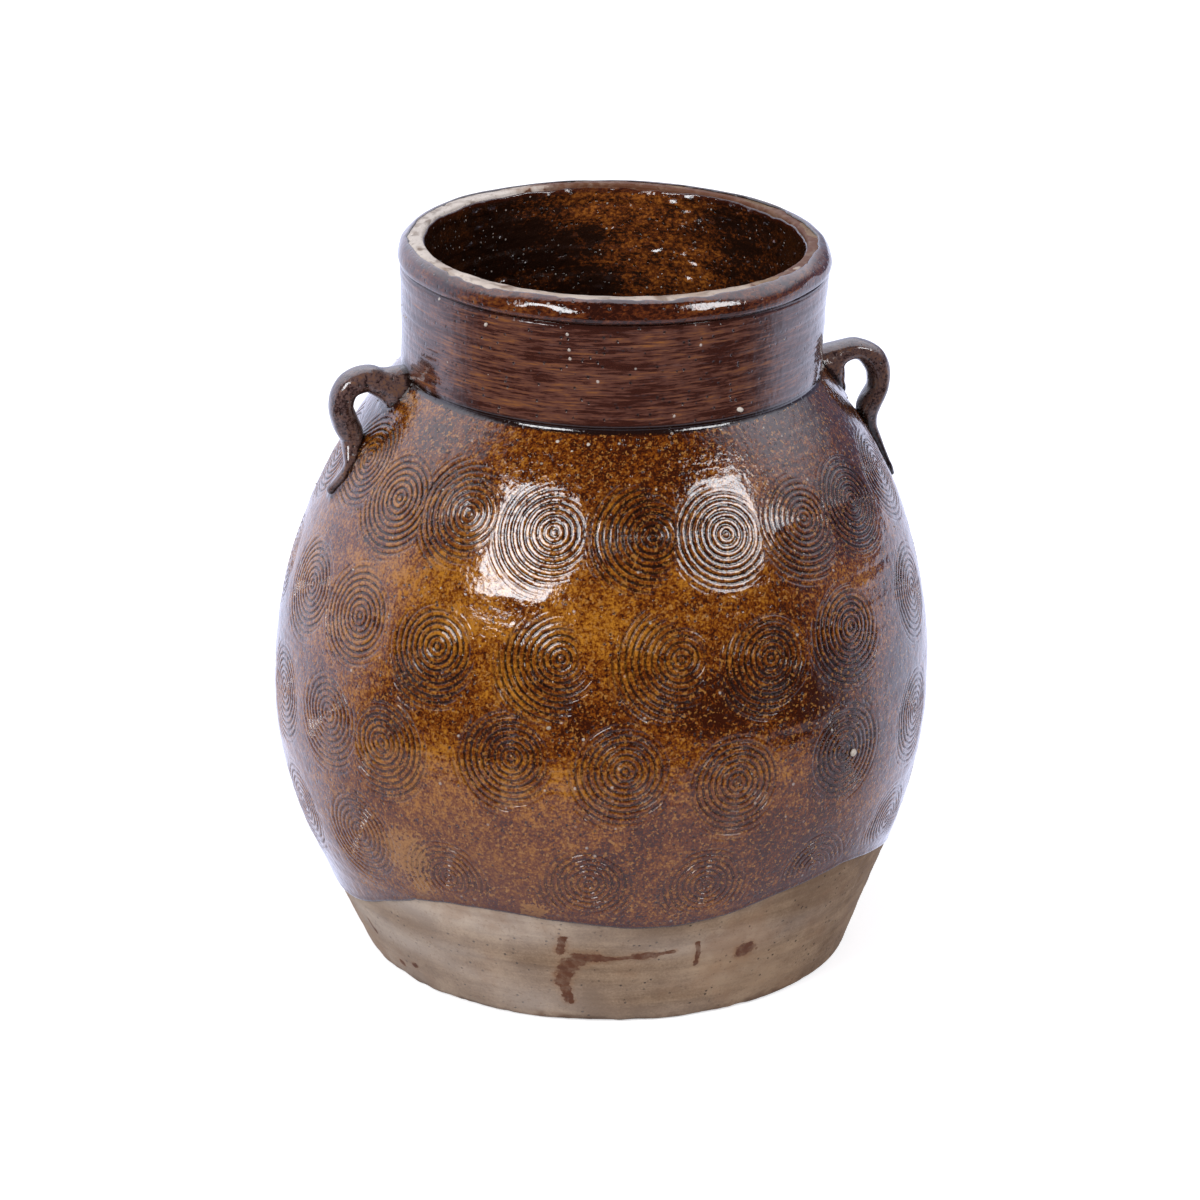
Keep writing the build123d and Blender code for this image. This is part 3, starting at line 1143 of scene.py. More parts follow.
@dataclass(frozen=True)
class RingStamp:
    """The carved ring stamp: its rings, and the patch of it that touches the wall."""

    ring_pitch: float = 2.75
    boss_radius: float = 1.75
    relief: float = 0.9
    dish: float = 0.3
    patch_half_width: float = 21.5
    patch_half_height: float = 23.5

    def tree(self) -> bpy.types.NodeTree:
        """Makes the geometry nodes that press the stamp into the glaze at each stamp point.

        Returns:
            The tree.
        """
        names = titled(self, *vars(self))
        kinds = {"Stamp Points": "Object", "Glaze": "Material", **dict.fromkeys([*names, "Wear Seed"], "Float")}
        tree, wires, given = geometry_tree("ring_stamps", kinds)
        stamps = wires.put("GeometryNodeObjectInfo", {"Object": given["Stamp Points"]}).outputs["Geometry"]
        spot = wires.put("GeometryNodeInputPosition").outputs[0]
        nearest = wires.put("GeometryNodeSampleNearest", {"Geometry": stamps}, domain="POINT").outputs[0]
        patch, boss, outward, strength = (
            wires.put("GeometryNodeSampleIndex", {"Geometry": stamps, "Index": nearest, "Value": value},
                      data_type=kind, domain="POINT").outputs[0]
            for kind, value in (
                ("FLOAT_VECTOR", spot),
                ("FLOAT_VECTOR", wires.named("FLOAT_VECTOR", "boss")),
                ("FLOAT_VECTOR", wires.named("FLOAT_VECTOR", "facing")),
                ("FLOAT", wires.named("FLOAT", "strength")),
            )
        )
        gap = wires.vector("SUBTRACT", spot, patch)[0]
        side = wires.vector("NORMALIZE", wires.vector("CROSS_PRODUCT", (0.0, 0.0, 1.0), outward)[0])[0]
        upward = wires.vector("CROSS_PRODUCT", outward, side)[0]
        wide, tall = (
            wires.sum("POWER", wires.sum("DIVIDE", wires.vector("DOT_PRODUCT", gap, axis)[1], given[half]), 2.0)
            for axis, half in ((side, "Patch Half Width"), (upward, "Patch Half Height"))
        )
        oval = wires.sum("SQRT", wires.sum("ADD", wide, tall))
        oval = wires.swung(oval, wires.wear(spot, given["Wear Seed"], 75.0, 2.0), 0.5)
        worn = wires.step(wires.wear(spot, given["Wear Seed"], 260.0, 1.0), 0.25, 0.55, 0.7, 1.0)
        pressed = wires.step(oval, 1.1, 0.75)
        for share in (strength, wires.named("FLOAT", "take"), worn):
            pressed = wires.times(pressed, share)
        beyond = wires.sum("SUBTRACT", wires.vector("DISTANCE", spot, boss)[1], given["Boss Radius"])
        rings = wires.sum("DIVIDE", beyond, given["Ring Pitch"])
        depth = wires.onto(given["Dish"], wires.step(wires.ridge(rings), 0.8, 0.0), given["Relief"])
        push = wires.scaled(wires.named("FLOAT_VECTOR", "outward"), wires.times(wires.times(depth, pressed), -1.0))
        kept = given["Geometry"]
        for name, value in (("ring", rings), ("press", pressed)):
            joins = {"Geometry": kept, "Name": name, "Value": value}
            kept = wires.put("GeometryNodeStoreNamedAttribute", joins, data_type="FLOAT", domain="POINT").outputs[0]
        moved = wires.put("GeometryNodeSetPosition", {"Geometry": kept, "Offset": push}).outputs[0]
        wires.dressed(wires.put("GeometryNodeRealizeInstances", {0: moved}).outputs[0], given["Glaze"])
        return tree

    def inputs(self, points: Object, glaze: Material) -> dict[str, Feed]:
        """The tree's inputs by name, in metres."""
        sizes = {name: size * MM for name, size in titled(self, *vars(self)).items()}
        return {"Stamp Points": points, "Glaze": glaze, "Wear Seed": 7.0, **sizes}


@dataclass(frozen=True)
class StampRow:
    """A row of stamps: the ones seen from the front, and how the hidden ones go on.

    A seen stamp is its boss's azimuth from the front in degrees, its height, and how far to
    the left of the boss the middle of its pressed patch lies.
    """

    seen: Rows
    spacing: float
    strength: float

    def places(self, shape: JarShape, lean: HandLean, seed: int) -> list[tuple[float, float, float]]:
        """Finds every stamp of the row.

        Args:
            shape: The jar's outline.
            lean: The jar's lean, taken off the places that were seen.
            seed: What makes the hidden stamps uneven in a way of their own.

        Returns:
            The stamps' azimuths in radians, heights and patches' shifts.
        """
        places = []
        for front, height, aside in self.seen:
            radius = float(shape.wall_radius(height, shape.coat))
            true_front, true_height = lean.true_place(front, height, radius)
            places.append((float(turn_of(true_front)), true_height, aside))
        last = places[-1][0]
        gap = TURN - (last - places[0][0])
        count = max(1, round(math.degrees(gap) / self.spacing)) - 1
        mean = sum(height for _, height, _ in places) / len(places)
        uneven = np.random.default_rng(seed)
        for number in range(1, count + 1):
            turn = last + gap * number / (count + 1) + math.radians(uneven.uniform(-1.6, 1.6))
            places.append((turn, mean + uneven.uniform(-2.6, 2.6), uneven.uniform(0.5, 9.5)))
        return places


STAMP_ROWS = (
    StampRow(
        ((-66.2, 236.0, 2.0), (-49.6, 228.5, 1.0), (-30.3, 230.0, 7.0), (-11.1, 227.0, 6.5), (9.2, 225.6, 8.7),
         (24.8, 223.5, 4.3), (44.3, 222.5, 5.0), (60.7, 221.2, 3.0), (81.4, 222.9, 3.0)),
        spacing=19.0, strength=1.0,
    ),
    StampRow(
        ((-69.4, 181.2, 3.0), (-50.8, 180.0, 4.0), (-31.7, 177.3, 2.0), (-8.3, 178.5, 9.0), (13.0, 177.4, 10.5),
         (29.7, 172.8, 4.0), (48.5, 175.3, 4.0), (72.5, 172.7, 3.0)),
        spacing=20.0, strength=1.0,
    ),
    StampRow(
        ((-78.8, 128.6, 2.0), (-56.6, 133.8, 1.0), (-42.0, 130.6, -4.5), (-16.4, 135.3, 4.0), (2.9, 131.1, 3.0),
         (22.2, 121.7, 1.0), (44.2, 123.0, -2.0), (67.8, 121.4, 2.0)),
        spacing=21.0, strength=0.84,
    ),
    StampRow(
        ((-49.9, 83.1, 0.0), (-29.6, 73.7, 1.0), (-3.4, 78.1, 1.0), (17.5, 74.3, 1.0), (40.5, 68.7, -1.0),
         (62.2, 74.1, 1.0)),
        spacing=22.5, strength=0.68,
    ),
)


class Side(Enum):
    """The jar's two sides, and where each faces round the jar."""

    RIGHT = 0.0
    LEFT = math.pi


def smooth_through(run: Array, stations: Array, wanted: Array) -> Array:
    """Draws a smooth line through stations.

    Args:
        run: The distance along the line at each station.
        stations: The values at each station.
        wanted: The distances at which values are wanted.

    Returns:
        The values there, which pass through the stations without a kink.
    """
    slopes = np.gradient(stations, run, axis=0)
    piece = np.clip(np.searchsorted(run, wanted, side="right") - 1, 0, len(run) - 2)
    length = (run[piece + 1] - run[piece])[:, None]
    share = (wanted - run[piece])[:, None] / length
    square, cube = share**2, share**3
    result = (2 * cube - 3 * square + 1) * stations[piece] + (cube - 2 * square + share) * length * slopes[piece]
    return result + (3 * square - 2 * cube) * stations[piece + 1] + (cube - square) * length * slopes[piece + 1]


@dataclass(frozen=True)
class CordLug:
    """One lug: a thick pulled strap from the neck's root, looped over and pressed down as a tail.

    A station of the loop is its reach out and its rise, as shares of the loop's, then the
    strap's thickness and width there, as shares of its own. A station of the tail is its fall
    as a share of the tail's length, how far it stands off the wall, and the same two sizes.
    """

    side: Side
    shape: JarShape
    lean: HandLean
    loop_height: float = 33.0
    pinch_drop: float = 27.5
    overhang: float = 16.8
    tail_length: float = 34.0
    thickness: float = 11.0
    width: float = 13.6
    swing: float = 0.0
    sunk: float = 5.0
    squareness: float = 2.3
    thinnest: float = 0.12
    loop: Rows = (
        (-0.200, 0.420, 2.75, 1.50), (0.125, 0.552, 2.99, 1.50), (0.204, 0.646, 2.06, 1.36),
        (0.316, 0.766, 1.11, 1.16), (0.582, 0.837, 0.84, 1.04), (0.760, 0.715, 0.99, 1.00),
        (0.837, 0.556, 0.95, 1.00), (0.853, 0.304, 0.83, 0.97), (0.742, -0.051, 0.88, 0.87),
    )
    tail: Rows = (
        (0.20, 0.27, 0.69, 0.73), (0.48, 0.18, 0.45, 0.55), (0.78, 0.15, 0.36, 0.46),
        (0.95, 0.15, 0.32, 0.42), (1.00, 0.14, 0.24, 0.30), (1.015, 0.12, 0.10, 0.12),
    )

    @property
    def pinch(self) -> float:
        """The height at which the loop ends and the tail starts."""
        return self.shape.root_height - self.pinch_drop

    def beside(self, height: Array, out: float = 0.0) -> Array:
        """The wall's radius at heights beside the lug, held at the wall's ends."""
        return self.shape.wall_radius(np.clip(height, 60.0, self.shape.root_height), out)

    def path(self, count: int = 170) -> Array:
        """Draws the strap's middle line.

        Args:
            count: Points along the strap.

        Returns:
            The radius, height, thickness and width at each point.
        """
        loop, tail, foot = np.array(self.loop), np.array(self.tail), self.shape.neck_foot
        reach = float(self.shape.wall_radius(self.pinch)) + self.overhang - foot
        low = self.pinch - tail[:, 0] * self.tail_length
        lying = self.shape.wall_radius(low, self.shape.coat) + tail[:, 1] * self.thickness
        radius = np.concatenate([foot + loop[:, 0] * reach, lying])
        height = np.concatenate([self.pinch + loop[:, 1] * self.loop_height, low])
        sizes = np.vstack([loop, tail])[:, 2:] * (self.thickness, self.width)
        stations = np.column_stack([radius, height, sizes])
        run = run_along(stations[:, :2])
        return smooth_through(run, stations, np.linspace(0.0, run[-1], count))

    def skin(self, inset: float, columns: int = 52) -> Array:
        """Makes the strap's surface on the leaning jar.

        Args:
            inset: How far the surface lies under the glaze's surface.
            columns: Points round the strap.

        Returns:
            Loops of points along the strap.
        """
        path = self.path()
        along = unit(np.gradient(path[:, :2], axis=0))
        radius, height, thick, wide = (path[:, [number]] for number in range(4))
        share = np.linspace(0.0, 1.0, len(path))[:, None]
        angle = around(columns)
        cosine, sine = np.cos(angle), np.sin(angle)
        across, over = (np.sign(part) * np.abs(part) ** (2.0 / self.squareness) for part in (cosine, sine))
        seed = 31 if self.side is Side.LEFT else 32
        hollow = bell(cosine, 0.25) + np.clip(cosine, 0.0, 1.0) ** 4
        middle = ease(0.2, 0.35, share) * ease(0.95, 0.7, share)
        dents = 0.34 * Waves(seed, 4, 0.15, 3).at(angle, share) + (0.2 - 0.4 * hollow) * middle
        dents = dents * ease(1.0, 0.93, share)
        half_thick = across * np.maximum(thick / 2.0 - inset + dents, self.thinnest)
        half_wide = over * np.maximum(wide / 2.0 - inset + 0.6 * dents, self.thinnest)
        x, z = radius - along[:, 1:] * half_thick, height + along[:, :1] * half_thick
        down = np.clip((self.pinch + 4.0 - height) / (self.tail_length + 4.0), 0.0, 1.0)
        aside = self.swing * (ease(0.0, 0.5, down) - 0.8 * ease(0.6, 1.0, down))
        seat = np.where(z < self.shape.root_height, self.beside(z), self.shape.neck_foot) - self.sunk
        x = np.maximum(x - aside**2 / 230.0, seat + inset)
        y = half_wide + 0.5 * np.sin(share * 5.0 + seed) + aside
        return self.lean.moved(polar(np.hypot(x, y), np.arctan2(y, x) + self.side.value, z))

    def build(self, glaze: Material, clay: Material) -> None:
        """Makes the lug's clay strap and its glaze, and dresses both.

        Args:
            glaze: The lug's glaze.
            clay: The bare clay under it.
        """
        name, coat = self.side.name.lower(), self.shape.coat
        outer = self.skin(0.0)
        off = np.hypot(outer[..., 0], outer[..., 1]) - self.beside(outer[..., 2], coat)
        skins = [Skin(outer, True, values={"pool": 0.85 * ease(3.2, 0.6, off)}),
                 Skin(self.skin(coat), True, inward=True)]
        make_piece(f"{name}_lug_glaze_coat", skins, glaze, "brown_glaze", f"{name}_lug_glaze")
        make_piece(f"{name}_lug_strap", [Skin(self.skin(coat + 0.05), True)], clay, "clay", f"{name}_lug")


@dataclass
class OuterGlaze:
    """The glaze outside: over the wall down to the dipped line, up the neck and over the roll.

    The edge holds the heights of the rolled edge's points above the line, and the coat there.
    A gold patch is its azimuth from the front, its height and its half width and half height.
    """

    shape: JarShape
    lean: HandLean
    surface: HandSurface
    line: GlazeLine
    lugs: tuple[CordLug, ...]
    columns: int = 1280
    upper_columns: int = 760
    step: float = 0.64
    free_below: float = 86.0
    free_coat: float = 0.62
    band_rows: int = 60
    under: float = 1.5
    fillet: float = 4.5
    lug_reach: float = 7.0
    edge: Rows = (
        (1.9, 0.72), (1.4, 0.78), (1.0, 0.8), (0.65, 0.72), (0.35, 0.52), (0.12, 0.25), (0.0, -0.15),
    )
    gold_patches: Rows = (
        (-36.4, 80.5, 13.0, 15.0), (-34.5, 66.0, 6.0, 8.0), (-12.4, 62.5, 7.0, 5.0),
    )

    def wall_sheet(self) -> Sheet:
        """Makes the glaze over the wall before it is stamped.

        Returns:
            Its points and what it stores.
        """
        turn, shape = around(self.columns), self.shape
        line, top = self.line.height(turn), shape.root_height + 0.1
        fixed = shape.heights_down(top, self.free_below, self.step)[:, None] + 0.0 * turn
        count = round((self.free_below - self.line.mean) / self.step)
        share = (np.arange(1, count + 1) / count)[:, None]
        free = self.free_below - (self.free_below - line - 2.4) * share
        edge_rise, edge_coat = np.array(self.edge).T[:, :, None]
        height = np.vstack([fixed, free, line + edge_rise])
        coat = np.vstack([0.0 * fixed + shape.coat, 0.0 * free + self.free_coat, edge_coat + 0.0 * turn])
        radius = shape.wall_radius(height, coat) + self.surface.wall(turn, height) + self.surface.peel(turn, height)
        above = height - line
        return polar(radius, turn, height), {
            "take": ease(4.0, 12.0, above) * ease(0.5, 5.0, top - height),
            "edge": np.clip(1.0 - (above - 0.55) / 7.5, 0.0, 1.0) ** 1.6,
            "pool": 0.9 * ease(1.9, 0.7, top - height),
            "gold": self.gold(turn, height),
            "warm": self.warm(turn, height),
        }

    def warm(self, turn: Array, height: Array) -> Array:
        """Says how far the fire turned the wall's glaze to amber or to dark brown.

        Args:
            turn: Azimuths in radians.
            height: Heights in millimetres.

        Returns:
            Values above 0 for amber and below 0 for dark brown.
        """
        facing = np.maximum(0.95 * towards(turn, -62.0) - 0.28, -0.55)
        shoulder = -0.65 * ease(222.0, 252.0, height + 9.0 * Waves(22, 7, 30.0, 2).at(turn, height))
        band = -0.55 * bell(height - 150.0, 13.0) * ease(-0.2, 0.5, towards(turn, 5.0))
        return facing + shoulder + band + 0.3 * bell(height - 195.0, 22.0)

    def gold(self, turn: Array, height: Array) -> Array:
        """Says how strongly the glaze has turned to a dull gold, in patches near the line.

        Args:
            turn: Azimuths in radians.
            height: Heights in millimetres.

        Returns:
            Values from 0 to 1.
        """
        total = 0.0 * (turn + height)
        for front, middle, wide, tall in self.gold_patches:
            far = np.hypot(turn_from(turn, front) * 130.0 / wide, (height - middle) / tall)
            total = np.maximum(total, 0.95 * ease(1.25, 0.35, far))
        return total

    def near_lugs(self, points: Array, values: dict[str, Array]) -> None:
        """Draws a sheet of glaze up against the lugs and darkens it there.

        Args:
            points: The sheet before the lean, changed in place.
            values: What it stores, changed in place.
        """
        leaned = self.lean.moved(points)
        for lug in self.lugs:
            skin = lug.skin(0.0, 40)[::2].reshape(-1, 3)
            tree = kdtree.KDTree(len(skin))
            for number, place in enumerate(skin):
                tree.insert(place, number)
            tree.balance()
            low, high = skin.min(0) - self.lug_reach, skin.max(0) + self.lug_reach
            near = np.all((leaned > low) & (leaned < high), axis=-1)
            for row, column in zip(*np.nonzero(near)):
                gap = tree.find(leaned[row, column])[2]
                if gap < self.lug_reach:
                    pull, spot = float(bell(gap, 2.6)), points[row, column]
                    spot[:2] *= 1.0 + 0.9 * pull / math.hypot(spot[0], spot[1])
                    values["pool"][row, column] = max(values["pool"][row, column], 0.8 * pull)
                    if "take" in values:
                        values["take"][row, column] *= 1.0 - pull

    def stamp_points(self) -> Object:
        """Makes the working points at which the ring stamps are pressed.

        Returns:
            The points, with each stamp's boss, facing and strength.
        """
        patches, bosses, facings, strengths = [], [], [], []
        uneven = np.random.default_rng(41)
        for number, row in enumerate(STAMP_ROWS):
            for turn, height, aside in row.places(self.shape, self.lean, 50 + number):
                radii = self.shape.wall_radius(height + np.array([-2.0, 0.0, 2.0]), self.shape.coat)
                tilt, beside = math.atan2(radii[0] - radii[2], 4.0), turn - aside / radii[1]
                low = height - (3.0 + uneven.normal(0.0, 1.5)) * math.cos(tilt)
                bosses.append(polar(radii[1], turn, height) * MM)
                patches.append(polar(float(self.shape.wall_radius(low, self.shape.coat)), beside, low))
                facings.append(polar(math.cos(tilt), beside, math.sin(tilt)))
                strengths.append(row.strength * uneven.uniform(0.82, 1.08))
        stored = {"facing": np.array(facings), "boss": np.array(bosses), "strength": np.array(strengths)}
        log.info("ring stamps placed: %d", len(patches))
        return scratch_object("stamp_points", np.array(patches), stored)

    def stamped(self, points: Array, values: dict[str, Array], glaze: Material) -> Array:
        """Presses the rows of ring stamps into the wall's glaze.

        Args:
            points: The wall's glaze before the lean.
            values: What it stores, to which the rings are added.
            glaze: Its material.

        Returns:
            The stamped points.
        """
        rows, columns, _ = points.shape
        index = np.arange(rows * columns).reshape(rows, columns)
        side = np.roll(index, -1, 1)
        quads = np.stack([index[:-1], index[1:], side[1:], side[:-1]], -1).reshape(-1, 4)
        stored = {"outward": sheet_normals(points), "take": values["take"]}
        sheet = scratch_object("wall_glaze_sheet", points.reshape(-1, 3), stored, quads)
        marks, stamp = self.stamp_points(), RingStamp()
        mesh = grown(sheet, stamp.tree(), stamp.inputs(marks, glaze))
        flat = np.empty(rows * columns * 3, np.float32)
        mesh.vertices.foreach_get("co", flat)
        for key in ("ring", "press"):
            values[key] = np.empty(rows * columns, np.float32)
            mesh.attributes[key].data.foreach_get("value", values[key])
            values[key] = values[key].reshape(rows, columns)
        for made in (sheet, marks):
            bpy.data.objects.remove(made, do_unlink=True)
        return flat.reshape(points.shape).astype(float) / MM

    def bands(self, name: str, points: Array, values: dict[str, Array], glaze: Material,
              rows_each: int, plain: Array | None = None) -> None:
        """Cuts a leaning sheet into closed bands of glaze and settles them.

        Args:
            name: The bands' name.
            points: The sheet's points.
            values: What it stores.
            glaze: Its material.
            rows_each: Rows of the sheet in a band.
            plain: The sheet before it was stamped, whose smoother shading is mixed in.
        """
        normals = sheet_normals(points)
        if plain is not None:
            normals = unit(0.4 * normals + 0.6 * sheet_normals(plain))
        back = points - normals * self.under
        count = max(1, math.ceil((len(points) - 1) / rows_each))
        cuts = np.linspace(0, len(points) - 1, count + 1).round().astype(int)
        for number, (first, last) in enumerate(zip(cuts[:-1], cuts[1:]), start=1):
            inner = np.linspace(last, first, max(2, (last - first) // 11 + 1)).round().astype(int)
            loops = np.vstack([points[first:last + 1], back[inner]])
            shading = np.vstack([normals[first:last + 1], 0.0 * normals[inner]])
            stored = {key: np.vstack([value[first:last + 1], value[inner]]) for key, value in values.items()}
            title = name if count == 1 else f"{name}_{number}"
            skin = Skin(loops, normals=shading, values=stored)
            make_piece(title, [skin], glaze, "brown_glaze", "outer_glaze")

    def neck_sheet(self) -> Sheet:
        """Makes the glaze on the neck, from the bead's groove down to the root.

        Returns:
            Its points and what it stores.
        """
        turn, shape, rows = around(self.upper_columns), self.shape, 84
        bend = np.radians(np.linspace(0.0, 43.0, 12))[1:, None] + 0.0 * turn
        start = shape.root_height + 1.9
        height = np.linspace(shape.bead_height + 0.1, start, rows)[:, None] + 0.0 * turn
        height = np.vstack([height, start - self.fillet * np.sin(bend)])
        spread = np.vstack([np.zeros((rows, turn.size)), self.fillet * (1.0 - np.cos(bend))])
        above_bead = height - shape.bead_height
        groove = 0.5 * bell(above_bead - 0.25 * Waves(62, 5, 40.0, 2).at(turn, height), 0.9)
        groove += 0.1 * bell(above_bead + 2.5 - 0.35 * Waves(61, 4, 40.0, 2).at(turn, height), 0.5)
        above_root = height - shape.root_height
        low = ease(3.0, -0.5, above_root)
        worked = (1.0 - low) * self.surface.neck(turn, height) + low * (self.surface.wall(turn, height) + 0.06)
        radius = shape.neck_radius(np.maximum(height, shape.root_height)) + shape.coat - groove + spread + worked
        pool = np.maximum(ease(3.4, 1.6, above_root), 0.9 * groove)
        return polar(radius, turn, height), {"pool": pool, "edge": 0.0 * height}

    def roll_edge(self, turn: Array) -> Array:
        """Says where the glaze ends over the rolled rim, round the lip.

        Args:
            turn: Azimuths in radians.

        Returns:
            The angles over the roll, from its crest.
        """
        bare = 0.5 + 0.5 * towards(turn, -52.0)
        chips = np.clip(Waves(72, 60, 5.0, 2).at(turn) - 0.25, 0.0, 1.0)
        ragged = 0.1 * Waves(71, 34, 5.0, 3).at(turn)
        return np.clip(0.08 + 0.28 * bare + ragged + 0.2 * chips, 0.03, 1.15)

    def roll_sheet(self) -> Sheet:
        """Makes the glaze on the roll, from its ragged upper edge down to the bead's groove.

        Returns:
            Its points and what it stores.
        """
        turn, shape, roll = around(self.upper_columns), self.shape, self.shape.roll_reach
        edge = self.roll_edge(turn)
        share = np.array([0.0, 0.02, 0.05, 0.09, 0.14, 0.2, *np.linspace(0.27, 1.0, 22)])[:, None]
        angle = edge + (QUARTER - edge) * share
        away = (angle - edge) * roll
        coat = 0.75 * np.sqrt(np.clip(1.0 - (1.0 - np.clip(away / 1.1, 0.0, 1.0)) ** 2, 0.0, 1.0)) - 0.15
        reach = roll + coat + 0.28 * Waves(63, 26, 5.0, 2).at(turn, angle * roll)
        middle_x, middle_z = shape.roll_middle
        radius, height = middle_x + reach * np.sin(angle), middle_z + reach * np.cos(angle)
        drop = np.linspace(1.0 / 9, 1.0, 9)[:, None]
        low_z = height[-1:] + (shape.bead_height - 0.15 - height[-1:]) * drop
        low_r = radius[-1:] - 0.75 * drop - 1.1 * ease(1.9, 0.1, low_z - shape.bead_height)
        rim = np.vstack([np.clip(1.0 - (away - 0.3) / 1.6, 0.0, 1.0) ** 1.4, 0.0 * low_r])
        pool = np.vstack([0.0 * away, 0.9 * ease(0.4, 1.0, drop) + 0.0 * turn])
        points = polar(np.vstack([radius, low_r]), turn, np.vstack([height, low_z]))
        return points, {"pool": pool, "edge": rim}

    def build(self, body: Material, neck: Material, roll: Material) -> None:
        """Makes and dresses the glaze of the wall, the neck and the roll.

        Args:
            body: The wall's glaze.
            neck: The neck's glaze.
            roll: The roll's glaze.
        """
        points, values = self.wall_sheet()
        self.near_lugs(points, values)
        stamped = self.stamped(points, values, body)
        self.bands("wall_glaze", self.lean.moved(stamped), values, body, self.band_rows, self.lean.moved(points))
        points, values = self.neck_sheet()
        self.near_lugs(points, values)
        self.bands("neck_glaze", self.lean.moved(points), values, neck, len(points))
        points, values = self.roll_sheet()
        self.bands("roll_glaze", self.lean.moved(points), values, roll, len(points))


@dataclass(frozen=True)
class FootMarks:
    """Smears and drips of glaze left on the bare foot, seen from the front.

    A stroke is its half width and its route, as azimuths from the front and heights.
    """

    radius: float = 118.0
    strokes: tuple[tuple[float, tuple[tuple[float, float], ...]], ...] = (
        (1.6, ((1.2, 36.2), (-1.6, 37.4))),
        (2.6, ((-1.6, 37.2), (-4.2, 37.0))),
        (3.7, ((-4.8, 36.0), (-7.4, 31.0), (-8.7, 23.4))),
        (2.4, ((-8.7, 23.4), (-8.0, 12.3))),
        (0.9, ((1.8, 36.4), (4.6, 36.9), (14.6, 38.8))),
        (1.7, ((6.2, 37.3), (10.4, 37.9))),
        (1.0, ((19.2, 41.8), (19.5, 36.0), (19.3, 29.5))),
        (3.4, ((29.7, 32.7), (31.3, 33.1))),
        (1.9, ((-7.3, 47.7), (-8.5, 40.1))),
        (1.2, ((-48.5, 11.6), (-47.5, 12.6))),
        (1.2, ((-54.0, 9.5), (-53.2, 9.0))),
        (1.0, ((-61.5, 26.0), (-60.5, 20.0))),
        (1.3, ((128.0, 36.0), (133.0, 33.0), (135.0, 26.0))),
        (2.1, ((-150.0, 30.0), (-146.0, 24.0))),
    )

    def stain(self, turn: Array, height: Array) -> Array:
        """Says how strongly places on the foot are stained.

        Args:
            turn: Azimuths in radians.
            height: Heights in millimetres.

        Returns:
            Values from 0, clean, to 1, stained.
        """
        total = 0.0 * (turn + height)
        for half_width, route in self.strokes:
            for (front_a, low), (front_b, high) in zip(route[:-1], route[1:]):
                across = turn_from(turn, front_a) * self.radius
                end, rise = math.radians(front_b - front_a) * self.radius, high - low
                share = np.clip((across * end + (height - low) * rise) / (end**2 + rise**2), 0.0, 1.0)
                gap = np.hypot(across - share * end, height - low - share * rise)
                total = np.maximum(total, 1.0 - 0.5 * gap / half_width)
        return np.clip(total, 0.0, 1.0)


